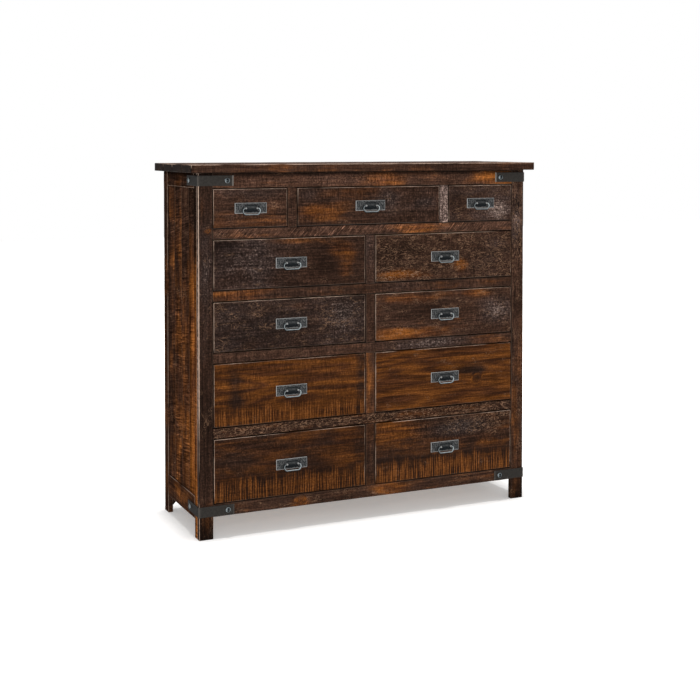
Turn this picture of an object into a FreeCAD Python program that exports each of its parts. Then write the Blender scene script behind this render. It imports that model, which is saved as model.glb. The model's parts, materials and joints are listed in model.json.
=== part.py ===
import FreeCAD, Part
import math
import os
import re
import Sketcher

# Tall eleven-drawer double chest in rough-sawn timber, with bail pulls and iron corner straps.
# X runs across the front, the drawers open towards -Y, and Z is up from the floor.
# The origin lies on the floor, under the centre of the top slab. All sizes are in millimetres.

SIZES = [
    ("case_width", 1440, "across the two front stiles"),
    ("case_depth", 460, "front of the stiles to the rear of the back"),
    ("foot_height", 85, "floor to the underside of the bottom rail"),
    ("bottom_rail_height", 48, "lowest rail of the front frame"),
    ("rail_height", 40, "each rail between two rows of drawers"),
    ("top_rail_height", 59, "rail under the slab"),
    ("row_5_height", 251, "opening of the lowest row"),
    ("row_4_height", 248, "opening of the fourth row"),
    ("row_3_height", 197, "opening of the third row"),
    ("row_2_height", 197, "opening of the second row"),
    ("row_1_height", 155, "opening of the top row"),
    ("stile_width", 57, "front stile, which is also the front of the foot"),
    ("mullion_width", 40, "upright between the two columns"),
    ("top_mullion_width", 38, "uprights of the top row"),
    ("middle_opening", 635, "opening of the middle drawer of the top row"),
    ("frame_thickness", 22, "front stiles, rails and mullions"),
    ("edge_bevel", 1.5, "worn arris of the boards that show"),
    ("slab_thickness", 32, "top slab"),
    ("slab_side_overhang", 36, "slab past each end of the case"),
    ("slab_front_overhang", 28, "slab past the front frame"),
    ("slab_rear_overhang", 8, "slab past the back"),
    ("slab_bevel", 2.5, "worn arris of the slab"),
    ("slab_plank_width", 124, "planks that are glued up into the slab"),
    ("plank_joint_depth", 1.6, "depth of the vee where two planks meet"),
    ("end_thickness", 20, "stiles and rails of the end frames"),
    ("end_front_stile", 32, "end stile behind the front stile"),
    ("end_rear_stile", 50, "end stile at the rear, which is also the rear foot"),
    ("end_rail_lift", 72, "floor to the underside of the end's lower rail"),
    ("end_bottom_rail", 87, "height of the end's lower rail"),
    ("end_top_rail", 59, "height of the end's upper rail"),
    ("panel_thickness", 8, "end panel"),
    ("panel_recess", 7, "end panel behind the face of its frame"),
    ("panel_tongue", 8, "end panel in the grooves of its frame"),
    ("panel_plank_width", 95, "upright planks of the end panel"),
    ("back_thickness", 6, "back panel"),
    ("rear_rail_thickness", 22, "bracket rail between the rear feet"),
    ("arch_height", 72, "floor to the underside of the bracket rail"),
    ("bracket_foot_width", 3, "bracket rail's toe beside the rear foot"),
    ("bracket_foot_height", 20, "straight part of that toe"),
    ("runner_thickness", 20, "boards of the web frames"),
    ("runner_bearing", 20, "runner under a drawer side"),
    ("web_rail_depth", 50, "rear rail of a web frame"),
    ("guide_height", 18, "guide strips on the runners"),
    ("stop_width", 60, "stop block behind each drawer"),
    ("stop_height", 16, "stop block above its web frame"),
    ("stop_depth", 22, "stop block, front to back"),
    ("stop_setback", 11.7, "stop block to the back panel"),
    ("drawer_gap", 3, "round each drawer front in its opening"),
    ("front_thickness", 20, "drawer front"),
    ("box_side_gap", 1.5, "drawer side to the edge of the opening"),
    ("box_headroom", 20, "top of a drawer side to the top of its opening"),
    ("seat_gap", 0.3, "drawer side above its runner, and box to its stop"),
    ("side_thickness", 14, "drawer sides"),
    ("end_board_thickness", 14, "front and back boards of a drawer box"),
    ("tail_pitch", 58, "dovetails, centre to centre, before rounding"),
    ("pin_width", 9, "dovetail pin at its narrow face"),
    ("pin_flare", 2.5, "dovetail pin wider at its wide face, each side"),
    ("bottom_thickness", 6, "drawer bottom"),
    ("bottom_lift", 9, "drawer bottom above the lower edge of the sides"),
    ("groove_depth", 6, "drawer bottom in the grooves of the box"),
    ("strap_thickness", 3, "iron corner straps"),
    ("strap_height", 40, "strap across its width"),
    ("strap_front_leg", 140, "strap on the front of the case"),
    ("strap_side_leg", 132, "strap on the end of the case"),
    ("strap_margin", 10, "upper strap below the slab"),
    ("strap_lift", 3, "lower strap above the underside of the bottom rail"),
    ("strap_bend", 1.5, "worn corner of a strap's bend"),
    ("bolt_inset", 25, "bolt to the end of its strap"),
    ("bolt_width", 21, "bolt head across"),
    ("bolt_corner", 6, "cut corners of the bolt head"),
    ("bolt_height", 6.5, "bolt head above its strap"),
    ("bolt_bevel", 4.8, "hammered facets of the bolt head"),
    ("plate_width", 130, "backplate of a pull"),
    ("plate_height", 41, "backplate of a pull"),
    ("plate_thickness", 2.5, "backplate of a pull"),
    ("plate_bevel", 1, "beaten edge of the backplate"),
    ("boss_width", 56, "raised middle of the backplate"),
    ("boss_height", 30, "raised middle of the backplate"),
    ("boss_corner", 8, "cut corners of the raised middle"),
    ("boss_rise", 4.5, "raised middle above the plate"),
    ("boss_bevel", 3.5, "sloped sides of the raised middle"),
    ("post_spacing", 46, "between the two posts of a pull"),
    ("post_width", 9, "post across its flats"),
    ("post_corner", 2.6, "cut corners of a post"),
    ("post_length", 13, "post above the plate"),
    ("post_bevel", 1.8, "beaten edge of a post's head"),
    ("eye_height", 8.8, "centre of the eyes above the plate"),
    ("pin_diameter", 5, "forged pin at each end of a bail, across its corners"),
    ("eye_clearance", 0.1, "round the pin in its eye, on the radius"),
    ("bail_thickness", 5.6, "forged rod of a bail across its flats"),
    ("bail_shoulder", 0.4, "rod to the outer face of the post"),
    ("bail_root", 4, "straight root of the rod beside the post"),
    ("bail_width", 78, "bail across its widest part"),
    ("bail_drop", 28, "eyes to the lowest edge of the bail"),
    ("bail_waist", 11, "eyes down to the widest part"),
    ("bail_grip", 52, "straight grip of the bail"),
]

document = FreeCAD.newDocument("double_chest")
sheet = document.addObject("Spreadsheet::Sheet", "Sizes")
for line, (name, size, meaning) in enumerate(SIZES, start=1):
    sheet.set(f"A{line}", meaning)
    sheet.set(f"B{line}", str(size))
    sheet.setAlias(f"B{line}", name)
document.recompute()

CELLS = {name: size for name, size, meaning in SIZES}
NODES = []


# A formula is written with the bare names of the sizes, and is bound to their cells.
def cells(text):
    return re.sub(r"[a-z][a-z0-9_]*", lambda word: ("Sizes." if word.group() in CELLS else "") + word.group(), text)


# The number that a formula gives, where a sketch needs a first place for its points.
def number(text):
    plain = re.sub(r"[a-z][a-z0-9_]*", lambda word: str(CELLS[word.group()]), text)
    return FreeCAD.Units.Quantity(plain).Value


def bind(thing, formulas):
    for path, text in formulas.items():
        thing.setExpression(path, cells(text))
    return thing


def place(thing, where):
    return bind(thing, {f"Placement.Base.{axis}": text for axis, text in zip("xyz", where)})


# Face planes of the case, as formulas.
HALF = "case_width/2"
FRONT = "(slab_front_overhang - (case_depth + slab_front_overhang + slab_rear_overhang)/2)"
REAR = f"({FRONT} + case_depth)"
FRAME_BACK = f"({FRONT} + frame_thickness)"
BACK_FACE = f"({REAR} - back_thickness)"
ROW_FLOOR = {5: "(foot_height + bottom_rail_height)"}
for row in (4, 3, 2, 1):
    ROW_FLOOR[row] = f"({ROW_FLOOR[row + 1]} + row_{row + 1}_height + rail_height)"
TOP_RAIL_FLOOR = f"({ROW_FLOOR[1]} + row_1_height)"
CASE_TOP = f"({TOP_RAIL_FLOOR} + top_rail_height)"

# Openings: their widths and the places of their centres.
COLUMN = "((case_width - 2*stile_width - mullion_width)/2)"
CORNER = "((case_width - 2*stile_width - middle_opening - 2*top_mullion_width)/2)"
COLUMN_CENTRE = f"((mullion_width + {COLUMN})/2)"
CORNER_CENTRE = f"(middle_opening/2 + top_mullion_width + {CORNER}/2)"
TOP_MULLION_CENTRE = "((middle_opening + top_mullion_width)/2)"

# Drawer box, front to back, from the front frame's face: it ends just before its stop block.
STOP_FACE = "(case_depth - back_thickness - stop_setback - stop_depth)"
BOX_NEAR = "front_thickness"
BOX_FAR = f"({STOP_FACE} - seat_gap)"


def board(name, low, size):
    box = document.addObject("Part::Box", name)
    bind(box, {"Length": size[0], "Width": size[1], "Height": size[2]})
    return place(box, low)


def cut(name, base, tool):
    result = document.addObject("Part::Cut", name)
    result.Base = base
    result.Tool = tool
    return result


def gather(name, pieces):
    result = document.addObject("Part::Compound", name)
    result.Links = pieces
    return result


# The same piece again, on the other side of the chest.
def mirrored(name, piece):
    result = document.addObject("Part::Mirroring", name)
    result.Source = piece
    result.Normal = FreeCAD.Vector(1, 0, 0)
    return result


# One node of the assembly: a label, its pieces, and where they go.
def node(label, pieces, where=("0", "0", "0")):
    result = gather(label, pieces)
    result.Label = label
    NODES.append(result)
    return place(result, where)


def origin_plane(body, role):
    return next(plane for plane in body.Origin.OriginFeatures if plane.Role == role)


def new_sketch(body, name, role, offset=None):
    sketch = body.newObject("Sketcher::SketchObject", name)
    sketch.AttachmentSupport = [(origin_plane(body, role), "")]
    sketch.MapMode = "FlatFace"
    if offset:
        bind(sketch, {"AttachmentOffset.Base.z": offset})
    return sketch


def pin_point(sketch, line, end, corner):
    for kind, text in zip(("DistanceX", "DistanceY"), corner):
        rule = sketch.addConstraint(Sketcher.Constraint(kind, -1, 1, line, end, number(text)))
        sketch.setExpression(f"Constraints[{rule}]", cells(text))


# Straight lines through corners that are pairs of formulas, closed or open.
def draw_lines(sketch, corners, closed=True):
    points = [FreeCAD.Vector(number(across), number(up), 0) for across, up in corners]
    ends = points[1:] + points[:1] if closed else points[1:]
    first = sketch.GeometryCount
    for begin, end in zip(points, ends):
        sketch.addGeometry(Part.LineSegment(begin, end), False)
    lines = range(first, sketch.GeometryCount)
    for line in lines:
        if line + 1 in lines:
            sketch.addConstraint(Sketcher.Constraint("Coincident", line, 2, line + 1, 1))
        elif closed:
            sketch.addConstraint(Sketcher.Constraint("Coincident", line, 2, first, 1))
    for line, corner in zip(lines, corners):
        pin_point(sketch, line, 1, corner)
    if not closed:
        pin_point(sketch, lines[-1], 2, corners[-1])
    return sketch


def rectangle(left, low, right, high):
    return [(left, low), (right, low), (right, high), (left, high)]


# A rectangle with its corners cut off, centred a way along the sketch's first axis.
def cut_rectangle(width, height, corner, centre="0"):
    far, top = f"{width}/2", f"{height}/2"
    near, shoulder = f"({width}/2 - {corner})", f"({height}/2 - {corner})"
    outline = [
        (f"-{near}", f"-{top}"), (near, f"-{top}"), (far, f"-{shoulder}"), (far, shoulder),
        (near, top), (f"-{near}", top), (f"-{far}", shoulder), (f"-{far}", f"-{shoulder}"),
    ]
    return [(f"({centre} + {across})", up) for across, up in outline]


# A regular octagon, as a rod or a hole has when it is forged over eight facets.
def octagon(across_flats, centre="0"):
    corner_share = round((1 - math.tan(math.pi/8))/2, 4)
    return cut_rectangle(across_flats, across_flats, f"{across_flats}*{corner_share}", centre)


def pad(body, name, sketch, length):
    feature = body.newObject("PartDesign::Pad", name)
    feature.Profile = sketch
    return bind(feature, {"Length": length})


# Pocket that goes right through both ways, so that it can't point away from the solid.
def pocket_through(body, name, sketch):
    feature = body.newObject("PartDesign::Pocket", name)
    feature.Profile = sketch
    feature.Type = "ThroughAll"
    feature.Midplane = True
    return feature


# Edges of the feature's face that lies furthest along a direction.
def bevel_face(body, name, feature, direction, size):
    document.recompute()
    faces = feature.Shape.Faces
    furthest = max(range(len(faces)), key=lambda index: faces[index].CenterOfMass.dot(direction))
    bevel = body.newObject("PartDesign::Chamfer", name)
    bevel.Base = (feature, [f"Face{furthest + 1}"])
    return bind(bevel, {"Size": size})


def pattern_along(body, name, feature, sketch, axis, span, copies):
    pattern = body.newObject("PartDesign::LinearPattern", name)
    pattern.Originals = [feature]
    pattern.Direction = (sketch, [axis])
    bind(pattern, {"Length": span, "Occurrences": copies})
    body.Tip = pattern
    return pattern


FORWARD = FreeCAD.Vector(0, -1, 0)
UPWARD = FreeCAD.Vector(0, 0, 1)


# Top slab, glued up from planks whose joints show as shallow vees, with worn edges.
def top_slab():
    body = document.addObject("PartDesign::Body", "slab_body")
    slab_half = f"({HALF} + slab_side_overhang)"
    low, high = f"({FRONT} - slab_front_overhang)", f"({REAR} + slab_rear_overhang)"
    plan = draw_lines(new_sketch(body, "slab_plan", "XY_Plane"), rectangle(f"-{slab_half}", low, slab_half, high))
    boards = pad(body, "slab_boards", plan, "slab_thickness")
    bevel_face(body, "slab_edges", boards, UPWARD, "slab_bevel")
    vee = new_sketch(body, "slab_joint", "YZ_Plane")
    first = f"({low} + slab_plank_width)"
    above, below = "(slab_thickness + plank_joint_depth)", "(slab_thickness - plank_joint_depth)"
    draw_lines(vee, [(f"({first} - 2*plank_joint_depth)", above), (first, below),
                     (f"({first} + 2*plank_joint_depth)", above)])
    joint = pocket_through(body, "slab_vee", vee)
    depth = f"({high} - {low})"
    pattern_along(body, "slab_joints", joint, vee, "H_Axis", f"{depth} - 2*slab_plank_width",
                  f"max(2; round({depth}/slab_plank_width) - 1)")
    node("top_slab", [body], ("0", "0", CASE_TOP))


# Front frame: two stiles that run down into the front feet, rails between them, short mullions.
def front_frame():
    stile = board("stile_board", (f"-{HALF}", FRONT, "0"), ("stile_width", "frame_thickness", CASE_TOP))
    node("front_stile_left", [stile])
    node("front_stile_right", [mirrored("stile_right", stile)])

    span = ("(case_width - 2*stile_width)", "frame_thickness")
    start = (f"-({HALF} - stile_width)", FRONT)
    floors = [("foot_height", "bottom_rail_height"), (TOP_RAIL_FLOOR, "top_rail_height")]
    floors += [(f"({ROW_FLOOR[row]} - rail_height)", "rail_height") for row in (4, 3, 2, 1)]
    node("front_rails", [board(f"rail_{count}", start + (floor,), span + (height,))
                         for count, (floor, height) in enumerate(floors, start=1)])

    uprights = [board(f"mullion_{row}", ("-mullion_width/2", FRONT, ROW_FLOOR[row]),
                      ("mullion_width", "frame_thickness", f"row_{row}_height")) for row in (5, 4, 3, 2)]
    left = board("top_mullion", (f"-{TOP_MULLION_CENTRE} - top_mullion_width/2", FRONT, ROW_FLOOR[1]),
                 ("top_mullion_width", "frame_thickness", "row_1_height"))
    node("front_mullions", uprights + [left, mirrored("top_mullion_right", left)])


# Each end is a frame of two stiles and two rails, grooved for a sunk panel of upright planks.
def end_frames():
    front, rear = f"({FRAME_BACK} + end_front_stile)", f"({REAR} - end_rear_stile)"
    low, high = "(end_rail_lift + end_bottom_rail)", f"({CASE_TOP} - end_top_rail)"
    outer = f"-{HALF}"
    between = f"({rear} - {front})"
    boards = [
        board("end_stile_front", (outer, FRAME_BACK, "0"), ("end_thickness", "end_front_stile", CASE_TOP)),
        board("end_stile_rear", (outer, rear, "0"), ("end_thickness", "end_rear_stile", CASE_TOP)),
        board("end_rail_low", (outer, front, "end_rail_lift"), ("end_thickness", between, "end_bottom_rail")),
        board("end_rail_high", (outer, front, high), ("end_thickness", between, "end_top_rail")),
    ]
    groove = board("end_groove", (f"{outer} + panel_recess", f"{front} - panel_tongue", f"{low} - panel_tongue"),
                   ("panel_thickness", f"{between} + 2*panel_tongue", f"{high} - {low} + 2*panel_tongue"))
    frame = gather("end_frame", [cut(f"{piece.Name}_grooved", piece, groove) for piece in boards])
    node("end_frame_left", [frame])
    node("end_frame_right", [mirrored("end_frame_mirror", frame)])

    body = document.addObject("PartDesign::Body", "panel_body")
    side = new_sketch(body, "panel_side", "YZ_Plane")
    draw_lines(side, rectangle(f"({front} - panel_tongue)", f"({low} - panel_tongue)",
                               f"({rear} + panel_tongue)", f"({high} + panel_tongue)"))
    pad(body, "panel_boards", side, "panel_thickness")
    vee = new_sketch(body, "panel_joint", "XY_Plane")
    first = f"({front} + panel_plank_width)"
    draw_lines(vee, [("-plank_joint_depth", f"({first} - 2*plank_joint_depth)"), ("plank_joint_depth", first),
                     ("-plank_joint_depth", f"({first} + 2*plank_joint_depth)")])
    joint = pocket_through(body, "panel_vee", vee)
    pattern_along(body, "panel_joints", joint, vee, "V_Axis", f"{between} - 2*panel_plank_width",
                  f"max(2; round({between}/panel_plank_width) - 1)")
    place(body, (f"{outer} + panel_recess", "0", "0"))
    node("end_panel_left", [body])
    node("end_panel_right", [mirrored("panel_mirror", body)])


# Back: a thin panel nailed on between the ends, over a rail with bracket feet at its ends.
def back():
    inside = f"({HALF} - end_thickness)"
    node("back_panel", [board("back_board", (f"-{inside}", BACK_FACE, "arch_height"),
                              (f"2*{inside}", "back_thickness", f"{CASE_TOP} - arch_height"))])
    body = document.addObject("PartDesign::Body", "rear_rail_body")
    outline = new_sketch(body, "rear_rail_outline", "XZ_Plane")
    top = f"({ROW_FLOOR[5]} - runner_thickness)"
    toe = f"({inside} - bracket_foot_width)"
    knee = f"({toe} - arch_height + bracket_foot_height)"
    draw_lines(outline, [
        (f"-{inside}", "0"), (f"-{toe}", "0"), (f"-{toe}", "bracket_foot_height"), (f"-{knee}", "arch_height"),
        (knee, "arch_height"), (toe, "bracket_foot_height"), (toe, "0"), (inside, "0"),
        (inside, top), (f"-{inside}", top),
    ])
    pad(body, "rear_rail_board", outline, "rear_rail_thickness")
    node("rear_bracket_rail", [body], ("0", BACK_FACE, "0"))


# Web frame under each row: a rear rail, with runners back to it from the front frame.
# Guides on the runners keep the drawers straight, and a block behind each one stops it flush.
def web_frames():
    inside = f"({HALF} - end_thickness)"
    rail_face = f"({BACK_FACE} - web_rail_depth)"
    length = f"({rail_face} - {FRAME_BACK})"
    side_width = "(stile_width - end_thickness)"
    runners, guides = [], []

    def pair(name, low_x, floor, width, height):
        left = board(name, (low_x, FRAME_BACK, floor), (width, length, height))
        return [left, mirrored(f"{name}_right", left)]

    def rear_rail(name, floor):
        return board(name, (f"-{inside}", rail_face, floor), (f"2*{inside}", "web_rail_depth", "runner_thickness"))

    for row in (5, 4, 3, 2, 1):
        floor, deck = ROW_FLOOR[row], f"({ROW_FLOOR[row]} - runner_thickness)"
        runners.append(rear_rail(f"web_rail_{row}", deck))
        runners += pair(f"side_runner_{row}", f"-{inside}", deck, f"{side_width} + runner_bearing", "runner_thickness")
        guides += pair(f"side_guide_{row}", f"-{inside}", floor, side_width, "guide_height")
        if row > 1:
            wide = "(mullion_width + 2*runner_bearing)"
            runners.append(board(f"centre_runner_{row}", (f"-{wide}/2", FRAME_BACK, deck),
                                 (wide, length, "runner_thickness")))
            guides.append(board(f"centre_guide_{row}", ("-mullion_width/2", FRAME_BACK, floor),
                                ("mullion_width", length, "guide_height")))
        else:
            edge = f"-{TOP_MULLION_CENTRE} - top_mullion_width/2"
            runners += pair("inner_runner_1", f"{edge} - runner_bearing", deck,
                            "top_mullion_width + 2*runner_bearing", "runner_thickness")
            guides += pair("inner_guide_1", edge, floor, "top_mullion_width", "guide_height")
    node("drawer_runners", runners)

    for name, row, centre, width in OPENINGS:
        guides.append(board(f"{name}_stop", (f"{centre} - stop_width/2", f"{FRONT} + {STOP_FACE}", ROW_FLOOR[row]),
                            ("stop_width", "stop_depth", "stop_height")))
    node("drawer_guides", guides)

    deck = f"({CASE_TOP} - runner_thickness)"
    cleats = pair("slab_cleat", f"-{inside}", deck, f"{side_width} + runner_bearing", "runner_thickness")
    node("slab_frame", cleats + [rear_rail("slab_rear_rail", deck)])


# Dovetailed box for an opening of one width and one row. Its origin is at the front frame's face,
# on the floor of the opening. Tails are cut on the sides, and the end boards keep the pins.
def drawer_box(kind, row, width):
    outer = f"({width} - 2*box_side_gap)"
    height = f"(row_{row}_height - box_headroom - seat_gap)"
    near, far = BOX_NEAR, BOX_FAR
    low = "seat_gap"

    body = document.addObject("PartDesign::Body", f"{kind}_side")
    face = new_sketch(body, f"{kind}_side_face", "YZ_Plane")
    pad(body, f"{kind}_side_board", draw_lines(face, rectangle(near, low, far, f"({low} + {height})")),
        "side_thickness")
    sockets = new_sketch(body, f"{kind}_sockets", "YZ_Plane")
    narrow, wide = "pin_width/2", "(pin_width/2 + pin_flare)"
    for end, shoulder in ((near, f"({near} + end_board_thickness)"), (far, f"({far} - end_board_thickness)")):
        draw_lines(sockets, [(end, f"({low} - {narrow})"), (shoulder, f"({low} - {wide})"),
                             (shoulder, f"({low} + {wide})"), (end, f"({low} + {narrow})")])
    socket = pocket_through(body, f"{kind}_socket", sockets)
    pattern_along(body, f"{kind}_tails", socket, sockets, "V_Axis", height, f"round({height}/tail_pitch) + 1")
    place(body, (f"-{outer}/2", "0", "0"))

    bottom = board(
        f"{kind}_bottom",
        (f"-{outer}/2 + side_thickness - groove_depth", f"{near} + end_board_thickness - groove_depth",
         f"{low} + bottom_lift"),
        (f"{outer} - 2*side_thickness + 2*groove_depth", f"{far} - {near} - 2*end_board_thickness + 2*groove_depth",
         "bottom_thickness"))
    left = cut(f"{kind}_side_left", body, bottom)
    right = mirrored(f"{kind}_side_right", left)
    tails = gather(f"{kind}_tools", [left, right, bottom])
    ends = []
    for name, start in (("inner_front", near), ("inner_back", f"{far} - end_board_thickness")):
        blank = board(f"{kind}_{name}_blank", (f"-{outer}/2", start, low), (outer, "end_board_thickness", height))
        ends.append(cut(f"{kind}_{name}", blank, tails))
    return [left, right, bottom] + ends


# Drawer front with worn edges, about its own centre.
def drawer_front(kind, row, width):
    body = document.addObject("PartDesign::Body", f"{kind}_front_body")
    across, up = f"({width} - 2*drawer_gap)", f"(row_{row}_height - 2*drawer_gap)"
    outline = new_sketch(body, f"{kind}_front_outline", "XZ_Plane", "-front_thickness")
    draw_lines(outline, rectangle(f"-{across}/2", f"-{up}/2", f"{across}/2", f"{up}/2"))
    blank = pad(body, f"{kind}_front_board", outline, "front_thickness")
    bevel_face(body, f"{kind}_front_edges", blank, FORWARD, "edge_bevel")
    return body


# Cast backplate of a pull: beaten edges, a raised middle, and two posts with eyes for the bail.
def pull_plate():
    body = document.addObject("PartDesign::Body", "plate_body")
    outline = draw_lines(new_sketch(body, "plate_outline", "XZ_Plane"),
                         rectangle("-plate_width/2", "-plate_height/2", "plate_width/2", "plate_height/2"))
    sheet_metal = pad(body, "plate_sheet", outline, "plate_thickness")
    bevel_face(body, "plate_edges", sheet_metal, FORWARD, "plate_bevel")

    rise = new_sketch(body, "boss_outline", "XZ_Plane", "plate_thickness")
    draw_lines(rise, cut_rectangle("boss_width", "boss_height", "boss_corner"))
    boss = pad(body, "boss", rise, "boss_rise")
    bevel_face(body, "boss_sides", boss, FORWARD, "boss_bevel")

    foot = new_sketch(body, "post_outline", "XZ_Plane", "plate_thickness")
    draw_lines(foot, cut_rectangle("post_width", "post_width", "post_corner", "post_spacing/2"))
    post = pad(body, "post", foot, "post_length")
    beaten = bevel_face(body, "post_head", post, FORWARD, "post_bevel")
    pair = body.newObject("PartDesign::Mirrored", "posts")
    pair.Originals = [post, beaten]
    pair.MirrorPlane = (foot, ["V_Axis"])
    body.Tip = pair
    document.recompute()

    across = "(pin_diameter + 2*eye_clearance)"
    eye = new_sketch(body, "eye_outline", "YZ_Plane")
    draw_lines(eye, octagon(across, "-(plate_thickness + eye_height)"))
    body.Tip = pocket_through(body, "eyes", eye)
    return body


# Forged bail about its hinge axis: an octagonal rod, swept down from one post, along the
# grip and up to the other, with a pin at each end that turns in the eye on its corners.
def bail():
    body = document.addObject("PartDesign::Body", "bail_body")
    start = "(post_spacing/2 + post_width/2 + bail_shoulder)"
    widest = "(bail_width/2 - bail_thickness/2)"
    low = "(bail_drop - bail_thickness/2)"
    half = [
        (start, "0"),
        (f"({start} + bail_root)", "0"),
        (widest, "-bail_waist"),
        (f"(0.8*{widest} + 0.2*bail_grip/2)", f"-(0.4*bail_waist + 0.6*{low})"),
        ("bail_grip/2", f"-{low}"),
    ]
    other = [(f"-{across}", up) for across, up in half]
    route = draw_lines(new_sketch(body, "bail_route", "XZ_Plane"), other + half[::-1], closed=False)
    section = new_sketch(body, "bail_section", "YZ_Plane", f"-{start}")
    draw_lines(section, octagon("bail_thickness"))
    document.recompute()
    rod = body.newObject("PartDesign::AdditivePipe", "bail_rod")
    rod.Profile = section
    rod.Spine = (route, [f"Edge{edge + 1}" for edge in range(route.GeometryCount)])
    rod.Transition = "Right corner"
    document.recompute()

    end = new_sketch(body, "pin_end", "YZ_Plane", "(post_spacing/2 - post_width/2)")
    draw_lines(end, octagon(f"{round(math.cos(math.pi/8), 4)}*pin_diameter"))
    pin = pad(body, "pin", end, "(post_width + bail_shoulder)")
    pair = body.newObject("PartDesign::Mirrored", "pins")
    pair.Originals = [pin]
    pair.MirrorPlane = (origin_plane(body, "YZ_Plane"), [""])
    body.Tip = pair
    return body


# Iron strap bent round a front corner, and its domed bolts. Its origin is the case's lower corner.
def corner_ironwork():
    body = document.addObject("PartDesign::Body", "strap_body")
    bend = draw_lines(new_sketch(body, "strap_bend", "XY_Plane"), [
        ("-strap_thickness", "-strap_thickness"), ("strap_front_leg", "-strap_thickness"),
        ("strap_front_leg", "0"), ("0", "0"), ("0", "strap_side_leg"), ("-strap_thickness", "strap_side_leg"),
    ])
    band = pad(body, "strap_band", bend, "strap_height")
    document.recompute()
    outer = min(range(len(band.Shape.Edges)),
                key=lambda index: band.Shape.Edges[index].CenterOfMass.dot(FreeCAD.Vector(1, 1, 0)))
    corner = body.newObject("PartDesign::Chamfer", "strap_corner")
    corner.Base = (band, [f"Edge{outer + 1}"])
    bind(corner, {"Size": "strap_bend"})
    levels = {"upper": f"({CASE_TOP} - strap_margin - strap_height)", "lower": "(foot_height + strap_lift)"}
    straps, bolts = [], []
    for level, low in levels.items():
        left = place(gather(f"{level}_strap", [body]), (f"-{HALF}", FRONT, low))
        straps += [left, mirrored(f"{level}_strap_right", left)]

    head = document.addObject("PartDesign::Body", "bolt_body")
    outline = draw_lines(new_sketch(head, "bolt_outline", "XY_Plane"),
                         cut_rectangle("bolt_width", "bolt_width", "bolt_corner"))
    bevel_face(head, "bolt_facets", pad(head, "bolt_blank", outline, "bolt_height"), UPWARD, "bolt_bevel")

    turn_front = FreeCAD.Rotation(FreeCAD.Vector(1, 0, 0), 90)
    turn_side = FreeCAD.Rotation(FreeCAD.Vector(0, 1, 0), -90)
    for level, low in levels.items():
        middle = f"({low} + strap_height/2)"
        places = {
            "front": (turn_front, (f"-{HALF} + strap_front_leg - bolt_inset", f"{FRONT} - strap_thickness", middle)),
            "side": (turn_side, (f"-{HALF} - strap_thickness", f"{FRONT} + strap_side_leg - bolt_inset", middle)),
        }
        for leg, (turn, where) in places.items():
            bolt = gather(f"{level}_{leg}_bolt", [head])
            bolt.Placement = FreeCAD.Placement(FreeCAD.Vector(), turn)
            place(bolt, where)
            bolts += [bolt, mirrored(f"{level}_{leg}_bolt_right", bolt)]
    node("corner_straps", straps)
    node("strap_bolts", bolts)


OPENINGS = [("row1_left", 1, f"-{CORNER_CENTRE}", CORNER), ("row1_middle", 1, "0*case_width", "middle_opening"),
            ("row1_right", 1, CORNER_CENTRE, CORNER)]
for row in (2, 3, 4, 5):
    OPENINGS.append((f"row{row}_left", row, f"-{COLUMN_CENTRE}", COLUMN))
    OPENINGS.append((f"row{row}_right", row, COLUMN_CENTRE, COLUMN))


# Drawers: openings of one size share one pattern of box and front, and all share one pull.
def drawers():
    plate, handle = pull_plate(), bail()
    patterns = {}
    for name, row, centre, width in OPENINGS:
        if (row, width) not in patterns:
            kind = name if row == 1 else f"row{row}"
            patterns[(row, width)] = (drawer_front(kind, row, width), drawer_box(kind, row, width))
        front, box = patterns[(row, width)]
        middle = f"({ROW_FLOOR[row]} + row_{row}_height/2)"
        node(f"{name}_front", [front], (centre, FRONT, middle))
        node(f"{name}_box", box, (centre, FRONT, ROW_FLOOR[row]))
        node(f"{name}_plate", [plate], (centre, FRONT, middle))
        node(f"{name}_bail", [handle], (centre, f"{FRONT} - plate_thickness - eye_height", middle))


top_slab()
front_frame()
end_frames()
back()
web_frames()
corner_ironwork()
drawers()
document.recompute()

for thing in document.Objects:
    if "Invalid" in thing.State or "Error" in thing.State:
        raise RuntimeError(f"{thing.Name} failed: {thing.State}")
os.makedirs("parts", exist_ok=True)
for piece in NODES:
    if piece.Shape.isNull() or not piece.Shape.isValid():
        raise RuntimeError(f"{piece.Label} has no valid shape")
    piece.Shape.exportStep(f"parts/{piece.Label}.step")
whole = Part.makeCompound([piece.Shape for piece in NODES]).BoundBox
print(f"{len(NODES)} nodes, {sum(len(piece.Shape.Solids) for piece in NODES)} solids, "
      f"{whole.XLength:.1f} x {whole.YLength:.1f} x {whole.ZLength:.1f} mm")
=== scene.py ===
# %% [markdown]
# # A rough-sawn double chest of drawers
# The real chest is made of rough-sawn boards, stained dark and rubbed back along their edges, with
# forged pulls and iron straps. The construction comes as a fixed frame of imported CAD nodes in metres.
# This lesson dresses that frame: it cuts each visible board again with wavy, eased edges, gives
# wood and metal their finish with shader nodes, and sets the light and the camera.

# %% Load the frame
import json
import math
import random
from types import SimpleNamespace

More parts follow.
